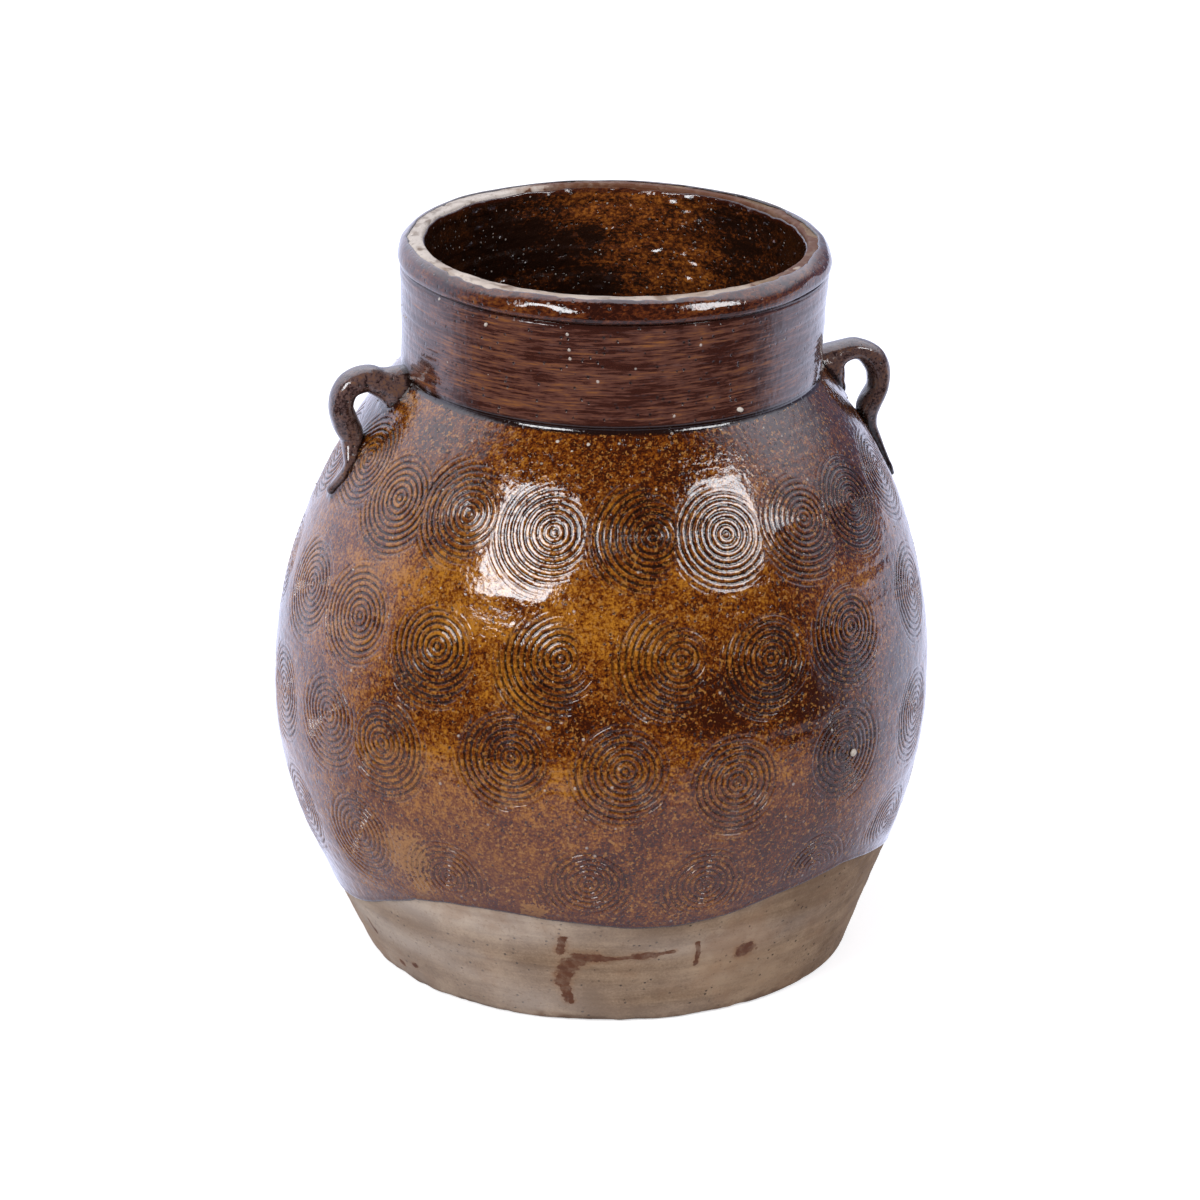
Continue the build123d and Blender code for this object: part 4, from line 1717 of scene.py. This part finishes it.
@dataclass
class ClayWall:
    """The jar's clay: a base slab, five coils, a thrown neck collar and a rolled rim."""

    shape: JarShape
    lean: HandLean
    surface: HandSurface
    line: GlazeLine
    marks: FootMarks
    finish: Material
    slab_columns: int = 520
    rim_columns: int = 720
    hidden_columns: int = 240
    seen_coils: tuple[tuple[float, int], ...] = ((0.85, 600), (1.3, 480))

    def outer_line(self, top: float, bottom: float, step: float) -> Array:
        """Draws the wall's outer line, with the heel eased.

        Args:
            top: The first height.
            bottom: The last height.
            step: About how far apart its points lie.

        Returns:
            Radius and height, going down.
        """
        heights, heel = self.shape.heights_down(top, bottom, step), self.shape.heel_round
        inset = heel - np.sqrt(heel**2 - np.clip(heel - heights, 0.0, heel) ** 2)
        return np.stack([self.shape.wall_radius(heights) - inset, heights], -1)

    def worked(self, section: Array, first: int, last: int, columns: int) -> Sheet:
        """Turns a section and gives its outside a hand-made surface and what it stores.

        Args:
            section: Points of radius and height.
            first: The first of its points that is outside.
            last: The number after the last one that is outside.
            columns: Points round the jar.

        Returns:
            The leaning loops and the stored values.
        """
        turn = around(columns)
        loops = polar(section[:, :1], turn, section[:, 1:])
        radius, height = section[first:last, :1], section[first:last, 1:] + 0.0 * turn
        above = height - self.line.height(turn)
        move = self.surface.wall(turn, height) + ease(5.0, 1.5, above) * self.surface.foot(turn, height)
        move -= 1.7 * ease(3.0, 7.0, above)
        loops[first:last, :, :2] *= ((radius + move) / radius)[..., None]
        broad, left = Waves(81, 6, 26.0, 3).at(turn, height), 0.5 + 0.5 * towards(turn, -80.0)
        heel = ease(4.2, 0.6, height + 2.4 * Waves(82, 60, 5.0, 3).at(turn, height))
        under_line = ease(-3.0, -0.3, above) * ease(-0.3, 0.6, broad)
        # The foot is made paler towards its left side and in broad patches, and darker and browner away from the
        # left.
        dull = 0.42 * ease(-0.7, 0.8, broad) * (1.0 - left)
        values = {key: np.zeros(loops.shape[:2]) for key in ("stain", "bleach", "scorch")}
        values["stain"][first:last] = self.marks.stain(turn, height)
        values["bleach"][first:last] = 0.38 * ease(0.1, 1.3, 0.6 * broad + 1.7 * left - 0.5)
        values["scorch"][first:last] = np.maximum(np.maximum(0.9 * heel, 0.5 * under_line), dull)
        return self.lean.moved(loops), values

    def settled(self, name: str, skin: Skin) -> None:
        """Makes one piece of clay and settles it."""
        make_piece(f"{name}_clay", [skin], self.finish, "clay", name)

    def slab(self) -> None:
        """The base slab: a disc with a rebate round its top and a hollowed underside."""
        shape, seat = self.shape, self.shape.base - self.shape.rebate
        before = np.vstack([level(HUB, shape.slab_seat, shape.base, 14), [(shape.slab_seat, seat)],
                            level(shape.slab_seat + 3.0, shape.foot_radius - 3.0, seat, 5)])
        outside = self.outer_line(seat, 0.02, 0.45)
        hollow = level(shape.recess_radius - 4.0, HUB, 0.0, 12)
        hollow[:, 1] = shape.recess_depth * (1.0 - hollow[:, 0] / shape.recess_radius)
        rim = level(shape.foot_radius - shape.heel_round - 0.6, shape.recess_radius, 0.0, 12)
        first, last = len(before), len(before) + len(outside)
        loops, values = self.worked(np.vstack([before, outside, rim, hollow]), first, last, self.slab_columns)
        values["scorch"][last:] = 0.25
        shading = np.zeros(loops.shape)
        shading[first:last - 1] = sheet_normals(loops[first:last])[:-1]
        self.settled("base_slab", Skin(loops, True, normals=shading, values=values))

    def coil(self, number: int) -> None:
        """Makes one coil of the wall, between its two bevelled joints.

        Args:
            number: The coil's number, from 1 at the foot.
        """
        shape, fall = self.shape, self.shape.joint_fall
        rise = (shape.root_height - shape.base) / shape.coils
        low, high = (shape.base + rise * joint + fall / 2.0 for joint in (number - 1, number))
        inner_low, inner_high = low - fall, high - fall
        if number == 1:
            low, inner_low = shape.base - shape.rebate, shape.base + shape.floor_round + 3.0
        if number == shape.coils:
            high, inner_high = shape.root_height - 0.05, shape.seat_height
        step, columns = self.seen_coils[number - 1] if number <= len(self.seen_coils) else (4.0, self.hidden_columns)
        outside, inside = self.outer_line(high, low, step), [shape.wall_line(inner_low, inner_high, 14)]
        if number == 1:
            inside = [level(outside[-1, 0] - 2.0, shape.slab_seat, low, 8), shape.floor_turn(QUARTER, 8), *inside]
        count = len(outside)
        loops, values = self.worked(np.vstack([outside, *inside]), 0, count, columns)
        shading = np.zeros(loops.shape)
        shading[:count] = sheet_normals(loops[:count])
        self.settled(f"wall_coil_{number}", Skin(loops, normals=shading, values=values))

    def collar(self) -> None:
        """The neck collar, from its seat on the top coil up to the bead's groove."""
        shape = self.shape
        heights = np.linspace(shape.bead_height, shape.root_height, 24)
        inside = upright(shape.mouth_radius, shape.seat_height, shape.bead_height, 12)
        section = np.vstack([np.stack([shape.neck_radius(heights) - 0.9, heights], -1), inside])
        loops = polar(section[:, :1], around(self.hidden_columns), section[:, 1:])
        self.settled("neck_collar", Skin(self.lean.moved(loops)))

    def rim_section(self) -> Array:
        """Draws the rolled rim's section, from halfway up the mouth over the lip and back.

        Returns:
            Points of radius and height.
        """
        shape, mouth, bead, top = self.shape, self.shape.mouth_radius, self.shape.bead_height, self.shape.height
        inner = upright(mouth, bead + 2.0, top - 1.4, 12)
        corner = arc((mouth + shape.lip_round, top - shape.lip_round), shape.lip_round, -QUARTER, 0.0, 6)
        flat = level(mouth + 1.6, shape.roll_middle[0] - 0.3, top, 5)
        over = arc(shape.roll_middle, shape.roll_reach, 0.0, 1.5, 26)
        foot = [(shape.neck_foot + 1.2, bead + 1.3), (shape.neck_foot, bead), (mouth + 3.0, bead), (mouth, bead)]
        return np.vstack([inner[4:], corner, flat, over, foot, inner[:4]])

    def rim(self) -> None:
        """The rolled rim, bare and pale along its lip."""
        shape, turn, section = self.shape, around(self.rim_columns), self.rim_section()
        run = run_along(section)[:, None]
        loops = polar(section[:, :1], turn, section[:, 1:])
        lumps = 0.22 * Waves(83, 60, 6.0, 3).at(turn, run) + 0.35 * Waves(84, 9, 40.0, 2).at(turn, run)
        chips = np.clip(Waves(85, 70, 5.0, 2).at(turn, run) - 0.62, 0.0, 1.0)
        top = ease(shape.bead_height + 3.0, shape.height - 3.0, loops[..., 2])
        loops[..., 2] += top * (lumps - 1.6 * chips)
        patches = Waves(86, 26, 9.0, 3).at(turn, run)
        pale = ease(-0.42, 0.1, towards(turn, -52.0) + 0.3 * patches)
        # Painted shade: the bare lip is kept less pale towards the front.
        shaded = 0.35 * np.clip(towards(turn, 10.0), 0.0, 1.0)
        values = {
            "bleach": top * (0.2 + (0.6 - shaded) * pale) * ease(-0.9, -0.1, patches + 0.6 * pale),
            "stain": top * (1.0 - pale) * ease(-0.75, -0.2, patches),
            "scorch": 0.7 * top * ease(0.15, 0.6, Waves(87, 90, 3.0, 2).at(turn, run)),
        }
        self.settled("rim_roll", Skin(self.lean.moved(loops), values=values))

    def build(self) -> None:
        """Makes every piece of the clay, from the slab up."""
        self.slab()
        for number in range(1, self.shape.coils + 1):
            self.coil(number)
        self.collar()
        self.rim()


@dataclass
class InsideGlaze:
    """The glaze poured round the inside, from the floor up to the lip."""

    shape: JarShape
    lean: HandLean
    columns: int = 480
    under: float = 0.9

    def section(self) -> Array:
        """Draws the clay's line under the glaze, from the floor's middle up to the lip.

        Returns:
            Points of radius and height.
        """
        shape = self.shape
        low = shape.base + shape.floor_round + 1.0
        return np.vstack([
            level(HUB, shape.floor_edge, shape.base, 16),
            shape.floor_turn(math.pi - 1.45, 10)[1:],
            shape.wall_line(low, shape.seat_height, 44),
            upright(shape.mouth_radius, shape.seat_height + 1.0, shape.height - 1.4, 76),
        ])

    def build(self, glaze: Material) -> None:
        """Makes the inside's glaze as one closed cup and dresses it.

        Args:
            glaze: The inside's glaze.
        """
        shape, turn, clay_line = self.shape, around(self.columns), self.section()
        along = unit(np.gradient(clay_line, axis=0))
        face = clay_line + shape.inner_coat * np.stack([-along[:, 1], along[:, 0]], -1)
        height = face[:, 1:] + 0.0 * turn
        threads = 0.22 * Waves(91, 3, 4.2, 2).at(turn, height) + 0.12 * Waves(92, 5, 2.2, 2).at(turn, height)
        blisters = 0.9 * np.clip(Waves(93, 150, 3.4, 1).at(turn, height) - 0.6, 0.0, 1.0)
        worked = face[:, :1] + (threads - blisters) * ease(20.0, 40.0, height)
        edge = 0.8 * np.clip(Waves(94, 40, 4.0, 3).at(turn) + 0.4, 0.0, 1.5)
        drop = edge * ease(shape.height - 8.0, shape.height - 1.4, height)
        back = polar(clay_line[:, :1] + self.under, turn, clay_line[:, 1:] - drop)
        kept = np.unique(np.append(np.arange(0, len(back), 5), len(back) - 1))[::-1]
        loops = self.lean.moved(np.vstack([polar(worked, turn, height - drop), back[kept]]))
        # Painted shade: the inside is darkened towards its back-left and back-right sides, and this is stored with
        # the pooled glaze, which darkens the colour the same way.
        shade = np.maximum(towards(turn, -118.0), towards(turn, 108.0) - 0.05)
        shade = shade + 0.25 * Waves(95, 9, 22.0, 3).at(turn, height)
        hidden = np.zeros((len(kept), self.columns))
        near = 0.9 * ease(shape.height - 4.2, shape.height - 1.9, height)
        dark = 0.75 * ease(0.45, 0.95, shade)
        values = {"edge": np.vstack([near, hidden]), "pool": np.vstack([dark, hidden])}
        make_piece("inside_glaze", [Skin(loops, True, values=values)], glaze, "inner_brown_glaze", "inner_glaze")


@dataclass(frozen=True)
class KilnGrit:
    """Grains and flakes of grit that fell on the jar in the kiln and fused there.

    A seen grain is its azimuth from the front, its height and its size.
    """

    shape: JarShape
    lean: HandLean
    seen: Rows = (
        (46.5, 120.6, 2.1), (37.4, 266.9, 1.6), (-33.7, 305.0, 1.2), (-10.0, 149.9, 1.1),
        (-13.0, 259.0, 0.8), (-9.0, 256.0, 0.7), (-5.0, 258.5, 0.8), (-16.0, 251.0, 0.6),
    )
    scattered: int = 80
    neck_share: float = 0.15
    shoulder: tuple[float, float] = (196.0, 262.0)
    neck: tuple[float, float] = (266.0, 306.0)

    def tree(self) -> bpy.types.NodeTree:
        """Makes the geometry nodes that seat a dented grain at each point.

        Returns:
            The tree.
        """
        tree, wires, given = geometry_tree("fused_grains", {"Grit": "Material", "Flatness": "Float", "Seed": "Int"})
        ball = wires.put("GeometryNodeMeshIcoSphere", {"Radius": 1.0, "Subdivisions": 2}).outputs[0]
        joins = {"Vector": wires.named("FLOAT_VECTOR", "outward")}
        rotation = wires.put("FunctionNodeAlignRotationToVector", joins, axis="Z").outputs[0]
        joins = {"Min": (0.75, 0.6, 0.8), "Max": (1.15, 1.0, 1.1), "Seed": given["Seed"]}
        uneven = wires.put("FunctionNodeRandomValue", joins, data_type="FLOAT_VECTOR").outputs[0]
        flat = wires.put("ShaderNodeCombineXYZ", {0: 1.0, 1: 1.0, 2: given["Flatness"]}).outputs[0]
        sized = wires.scaled(wires.vector("MULTIPLY", uneven, flat)[0], wires.named("FLOAT", "size"))
        joins = {"Points": given["Geometry"], "Instance": ball, "Rotation": rotation, "Scale": sized}
        placed = wires.put("GeometryNodeInstanceOnPoints", joins).outputs[0]
        real = wires.put("GeometryNodeRealizeInstances", {0: placed}).outputs[0]
        joins = {"Vector": wires.put("GeometryNodeInputPosition").outputs[0], "Scale": 900.0, "Detail": 1.0}
        noise = wires.put("ShaderNodeTexNoise", joins).outputs["Color"]
        dent = wires.scaled(wires.vector("SUBTRACT", noise, (0.5, 0.5, 0.5))[0], 0.0007)
        dented = wires.put("GeometryNodeSetPosition", {"Geometry": real, "Offset": dent}).outputs[0]
        wires.dressed(dented, given["Grit"])
        return tree

    def places(self) -> tuple[Array, Array, Array]:
        """Finds the grains' seats.

        Returns:
            The seats, the directions they face and the grains' sizes in metres.
        """
        chance, shape = np.random.default_rng(97), self.shape
        rows = [(*self.lean.true_place(front, height, 100.0 if height > 200 else 143.0), size)
                for front, height, size in self.seen]
        for _ in range(self.scattered):
            low, high = self.neck if chance.random() < self.neck_share else self.shoulder
            rows.append((chance.uniform(-180.0, 180.0), chance.uniform(low, high), chance.uniform(0.2, 0.55)))
        seats, facings = [], []
        for front, height, size in rows:
            turn, heights = float(turn_of(front)), np.array([height - 1.0, height + 1.0])
            on_neck = height > shape.root_height
            radii = shape.neck_radius(heights) + shape.coat if on_neck else shape.wall_radius(heights, shape.coat)
            tilt = math.atan2(radii[0] - radii[1], 2.0)
            seats.append(polar(float(radii.mean()) + 0.05 * size, turn, height))
            facings.append(polar(math.cos(tilt), turn, math.sin(tilt)))
        return self.lean.moved(np.array(seats)), np.array(facings), np.array(rows)[:, 2] * MM

    def build(self, grit: Material) -> None:
        """Makes all the grains as one piece and dresses them.

        Args:
            grit: Their material.
        """
        seats, facings, sizes = self.places()
        points = scratch_object("grain_seats", seats, {"outward": facings, "size": sizes})
        mesh = grown(points, self.tree(), {"Grit": grit, "Flatness": 0.55, "Seed": 5})
        bpy.data.objects.remove(points, do_unlink=True)
        mesh.polygons.foreach_set("use_smooth", np.ones(len(mesh.polygons), bool))
        settle(linked("fused_grit", mesh), "grit", "kiln_grit")


@dataclass(frozen=True)
class SoftBox:
    """A square soft lamp, placed round the jar."""

    name: str
    front: float
    rise: float
    away: float
    wide: float
    tall: float
    power: float
    color: tuple[float, float, float] = (0.96, 0.97, 1.0)

    def build(self, aim: Vector) -> None:
        """Places the lamp and turns it to face the jar.

        Args:
            aim: The middle of the jar.
        """
        light = bpy.data.lights.new(self.name, "AREA")
        light.shape, light.energy, light.color = "RECTANGLE", self.power, self.color
        light.size, light.size_y = self.wide, self.tall
        rise = math.radians(self.rise)
        aimed(self.name, light, aim, Vector(polar(math.cos(rise), turn_of(self.front), math.sin(rise))), self.away)


@dataclass(frozen=True)
class Studio:
    """The plain pale studio: floor, surroundings, soft lamps and the camera."""

    ambient: tuple = rgb(0.51, 0.52, 0.57)
    gloom: tuple = rgb(0.03, 0.03, 0.04)
    pale: tuple = rgb(1.0, 1.05, 1.34)
    dusk: tuple = rgb(0.17, 0.175, 0.27)
    overhead: tuple = rgb(1.7, 1.75, 2.0)
    near_floor: tuple = rgb(0.5, 0.52, 0.64)
    matte: tuple = rgb(0.82, 0.82, 0.82)
    aim: tuple[float, float, float] = (0.0, 0.0, 154.15)
    distance: float = 2429.0
    look_down: float = 20.55
    camera_side: float = -15.0
    lens: float = 165.8
    aside_pixels: float = 8.0
    image_pixels: float = 1200.0
    floor_half: float = 4.0
    floor_drop: float = 0.0002
    lamps: tuple[SoftBox, ...] = (
        SoftBox("left_softbox", -37.0, 32.5, 1.6, 0.7, 0.62, 16.5),
        SoftBox("right_softbox", 57.0, 35.0, 1.6, 0.6, 0.46, 8.8),
    )

    def camera(self) -> None:
        """Places the camera at the photograph's viewing angle."""
        data = bpy.data.cameras.new("camera")
        data.lens, data.sensor_width, data.sensor_fit = self.lens, 36.0, "AUTO"
        data.shift_x = -self.aside_pixels / self.image_pixels
        data.clip_start, data.clip_end = 0.05, 50.0
        down = math.radians(self.look_down)
        back = Vector(polar(math.cos(down), math.radians(self.camera_side) - QUARTER, math.sin(down)))
        made = aimed("camera", data, Vector(self.aim) * MM, back, self.distance * MM)
        bpy.context.scene.camera = made

    def front_share(self, wires: Wires, direction: Feed) -> Socket:
        """How far a level direction points to the front, from -1 to 1."""
        flat = wires.vector("NORMALIZE", wires.vector("MULTIPLY", direction, (1.0, 1.0, 0.0))[0])[0]
        return wires.vector("DOT_PRODUCT", flat, tuple(polar(1.0, turn_of(0.0), 0.0)))[1]

    def surroundings(self) -> None:
        """White to the camera, soft light on the jar, and a dim front side in its gloss."""
        world = bpy.data.worlds.new("studio")
        wires = blank_nodes(world)
        direction = wires.put("ShaderNodeTexCoord").outputs["Generated"]
        rays = wires.put("ShaderNodeLightPath").outputs
        side = wires.vector("DOT_PRODUCT", direction, tuple(HandLean().aside()))[1]
        rise = wires.put("ShaderNodeSeparateXYZ", {0: direction}).outputs[2]
        shown = wires.blend(wires.step(side, -0.3, 0.5), self.pale, self.dusk)
        shown = wires.blend(wires.step(rise, 0.15, 0.6), shown, self.overhead)
        shown = wires.blend(wires.step(self.front_share(wires, direction), -0.15, 0.4), shown, self.gloom)
        color = wires.blend(rays["Is Glossy Ray"], self.ambient, shown)
        for kind in ("Is Transmission Ray", "Is Camera Ray"):
            color = wires.blend(rays[kind], color, WHITE)
        back = wires.put("ShaderNodeBackground", {"Color": color, "Strength": 1.0}).outputs[0]
        wires.ends(back, "ShaderNodeOutputWorld")
        bpy.context.scene.world = world

    def floor(self) -> None:
        """A plain white floor that keeps the jar's soft shadow."""
        mesh = bpy.data.meshes.new("studio_floor")
        half, drop = self.floor_half, self.floor_drop
        corners = [(-half, -half, -drop), (half, -half, -drop), (half, half, -drop), (-half, half, -drop)]
        mesh.from_pydata(corners, [], [(0, 1, 2, 3)])
        made, wires, place = started("studio_floor")
        rays = wires.put("ShaderNodeLightPath").outputs
        matte = wires.put("ShaderNodeBsdfDiffuse", {"Color": self.matte}).outputs[0]
        far = wires.vector("LENGTH", place)[1]
        lift = wires.times(rays["Is Camera Ray"], wires.step(far, 0.2, 0.6, 0.56, 0.85))
        white = wires.put("ShaderNodeEmission", {"Color": WHITE, "Strength": lift}).outputs[0]
        seen = wires.put("ShaderNodeAddShader", {0: matte, 1: white}).outputs[0]
        ahead = self.front_share(wires, place)
        dim = wires.times(wires.step(far, 0.42, 0.62), wires.step(ahead, -0.2, 0.4))
        shown = wires.blend(wires.step(ahead, -0.3, 0.3), self.pale, self.near_floor)
        shown = wires.blend(dim, shown, self.gloom)
        gloss = wires.put("ShaderNodeEmission", {"Color": shown, "Strength": 1.0}).outputs[0]
        wires.ends(wires.put("ShaderNodeMixShader", {0: rays["Is Glossy Ray"], 1: seen, 2: gloss}).outputs[0])
        mesh.materials.append(made)
        plane = linked("studio_floor", mesh)

    def build(self) -> None:
        """Sets up the camera, the floor, the surroundings and the lamps."""
        self.camera()
        self.floor()
        self.surroundings()
        for lamp in self.lamps:
            lamp.build(Vector(self.aim) * MM)
        bpy.context.scene.view_settings.view_transform = "Standard"
        log.info("studio: %d lamps", len(self.lamps))


def main() -> None:
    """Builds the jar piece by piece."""
    logging.basicConfig(level=logging.INFO, format="%(name)s %(message)s")
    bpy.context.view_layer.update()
    Studio().build()
    shape, lean, surface, line = JarShape(), HandLean(), HandSurface(), GlazeLine()
    clay = BareClay().material()
    lug_glaze = BrownGlaze(Tone.LUG, dark=rgb(0.024, 0.01, 0.008), brown=rgb(0.1, 0.058, 0.052), haze=0.07,
                           amber=rgb(0.17, 0.08, 0.042), amber_share=0.42, sparks=0.3, bump_depth=0.0006).material()
    lugs = (
        CordLug(Side.LEFT, shape, lean, loop_height=35.1, overhang=14.6, tail_length=20.5, thickness=11.8, width=14.2,
                swing=6.5,
                loop=((-0.200, 0.420, 2.75, 1.50), (-0.079, 0.514, 2.97, 1.50), (0.087, 0.639, 2.09, 1.36),
                      (0.378, 0.773, 1.01, 1.16), (0.471, 0.814, 0.97, 1.04), (0.754, 0.721, 0.90, 1.00),
                      (0.843, 0.493, 0.88, 1.00), (0.788, 0.276, 0.96, 0.97), (0.698, 0.100, 0.87, 0.87)),
                tail=((0.16, 0.20, 0.58, 0.62), (0.38, 0.09, 0.41, 0.46), (0.62, 0.09, 0.37, 0.42),
                      (0.85, 0.09, 0.34, 0.38), (0.96, 0.09, 0.31, 0.34), (1.00, 0.08, 0.20, 0.22),
                      (1.015, 0.08, 0.08, 0.10))),
        CordLug(Side.RIGHT, shape, lean),
    )
    for lug in lugs:
        lug.build(lug_glaze, clay)
    OuterGlaze(shape, lean, surface, line, lugs).build(
        BrownGlaze(Tone.BODY).material(),
        BrownGlaze(Tone.NECK, dark=rgb(0.036, 0.009, 0.005), brown=rgb(0.1, 0.038, 0.026), haze=0.07,
                   amber=rgb(0.22, 0.08, 0.022), amber_share=0.3, streaks=1.1, sparks=0.6, drawn=(0.1, 0.1, 1.3),
                   bump_depth=0.0004).material(),
        BrownGlaze(Tone.ROLL, dark=rgb(0.02, 0.004, 0.0015), brown=rgb(0.07, 0.015, 0.004),
                   amber=rgb(0.17, 0.055, 0.01), amber_share=0.36, streaks=0.5, drawn=(0.5, 0.5, 1.0),
                   bump_depth=0.0004).material(),
    )
    ClayWall(shape, lean, surface, line, FootMarks(), clay).build()
    InsideGlaze(shape, lean).build(
        BrownGlaze(Tone.INSIDE, dark=rgb(0.018, 0.007, 0.004), brown=rgb(0.1, 0.024, 0.006),
                   amber=rgb(0.36, 0.115, 0.018), amber_share=0.46, streaks=0.8, sparks=0.7, spark_floor=0.6,
                   spark_scale=340.0, drawn=(0.7, 0.7, 1.0), bump_depth=0.0009).material()
    )
    KilnGrit(shape, lean).build(FusedGrit().material())


if __name__ == "__main__":
    main()
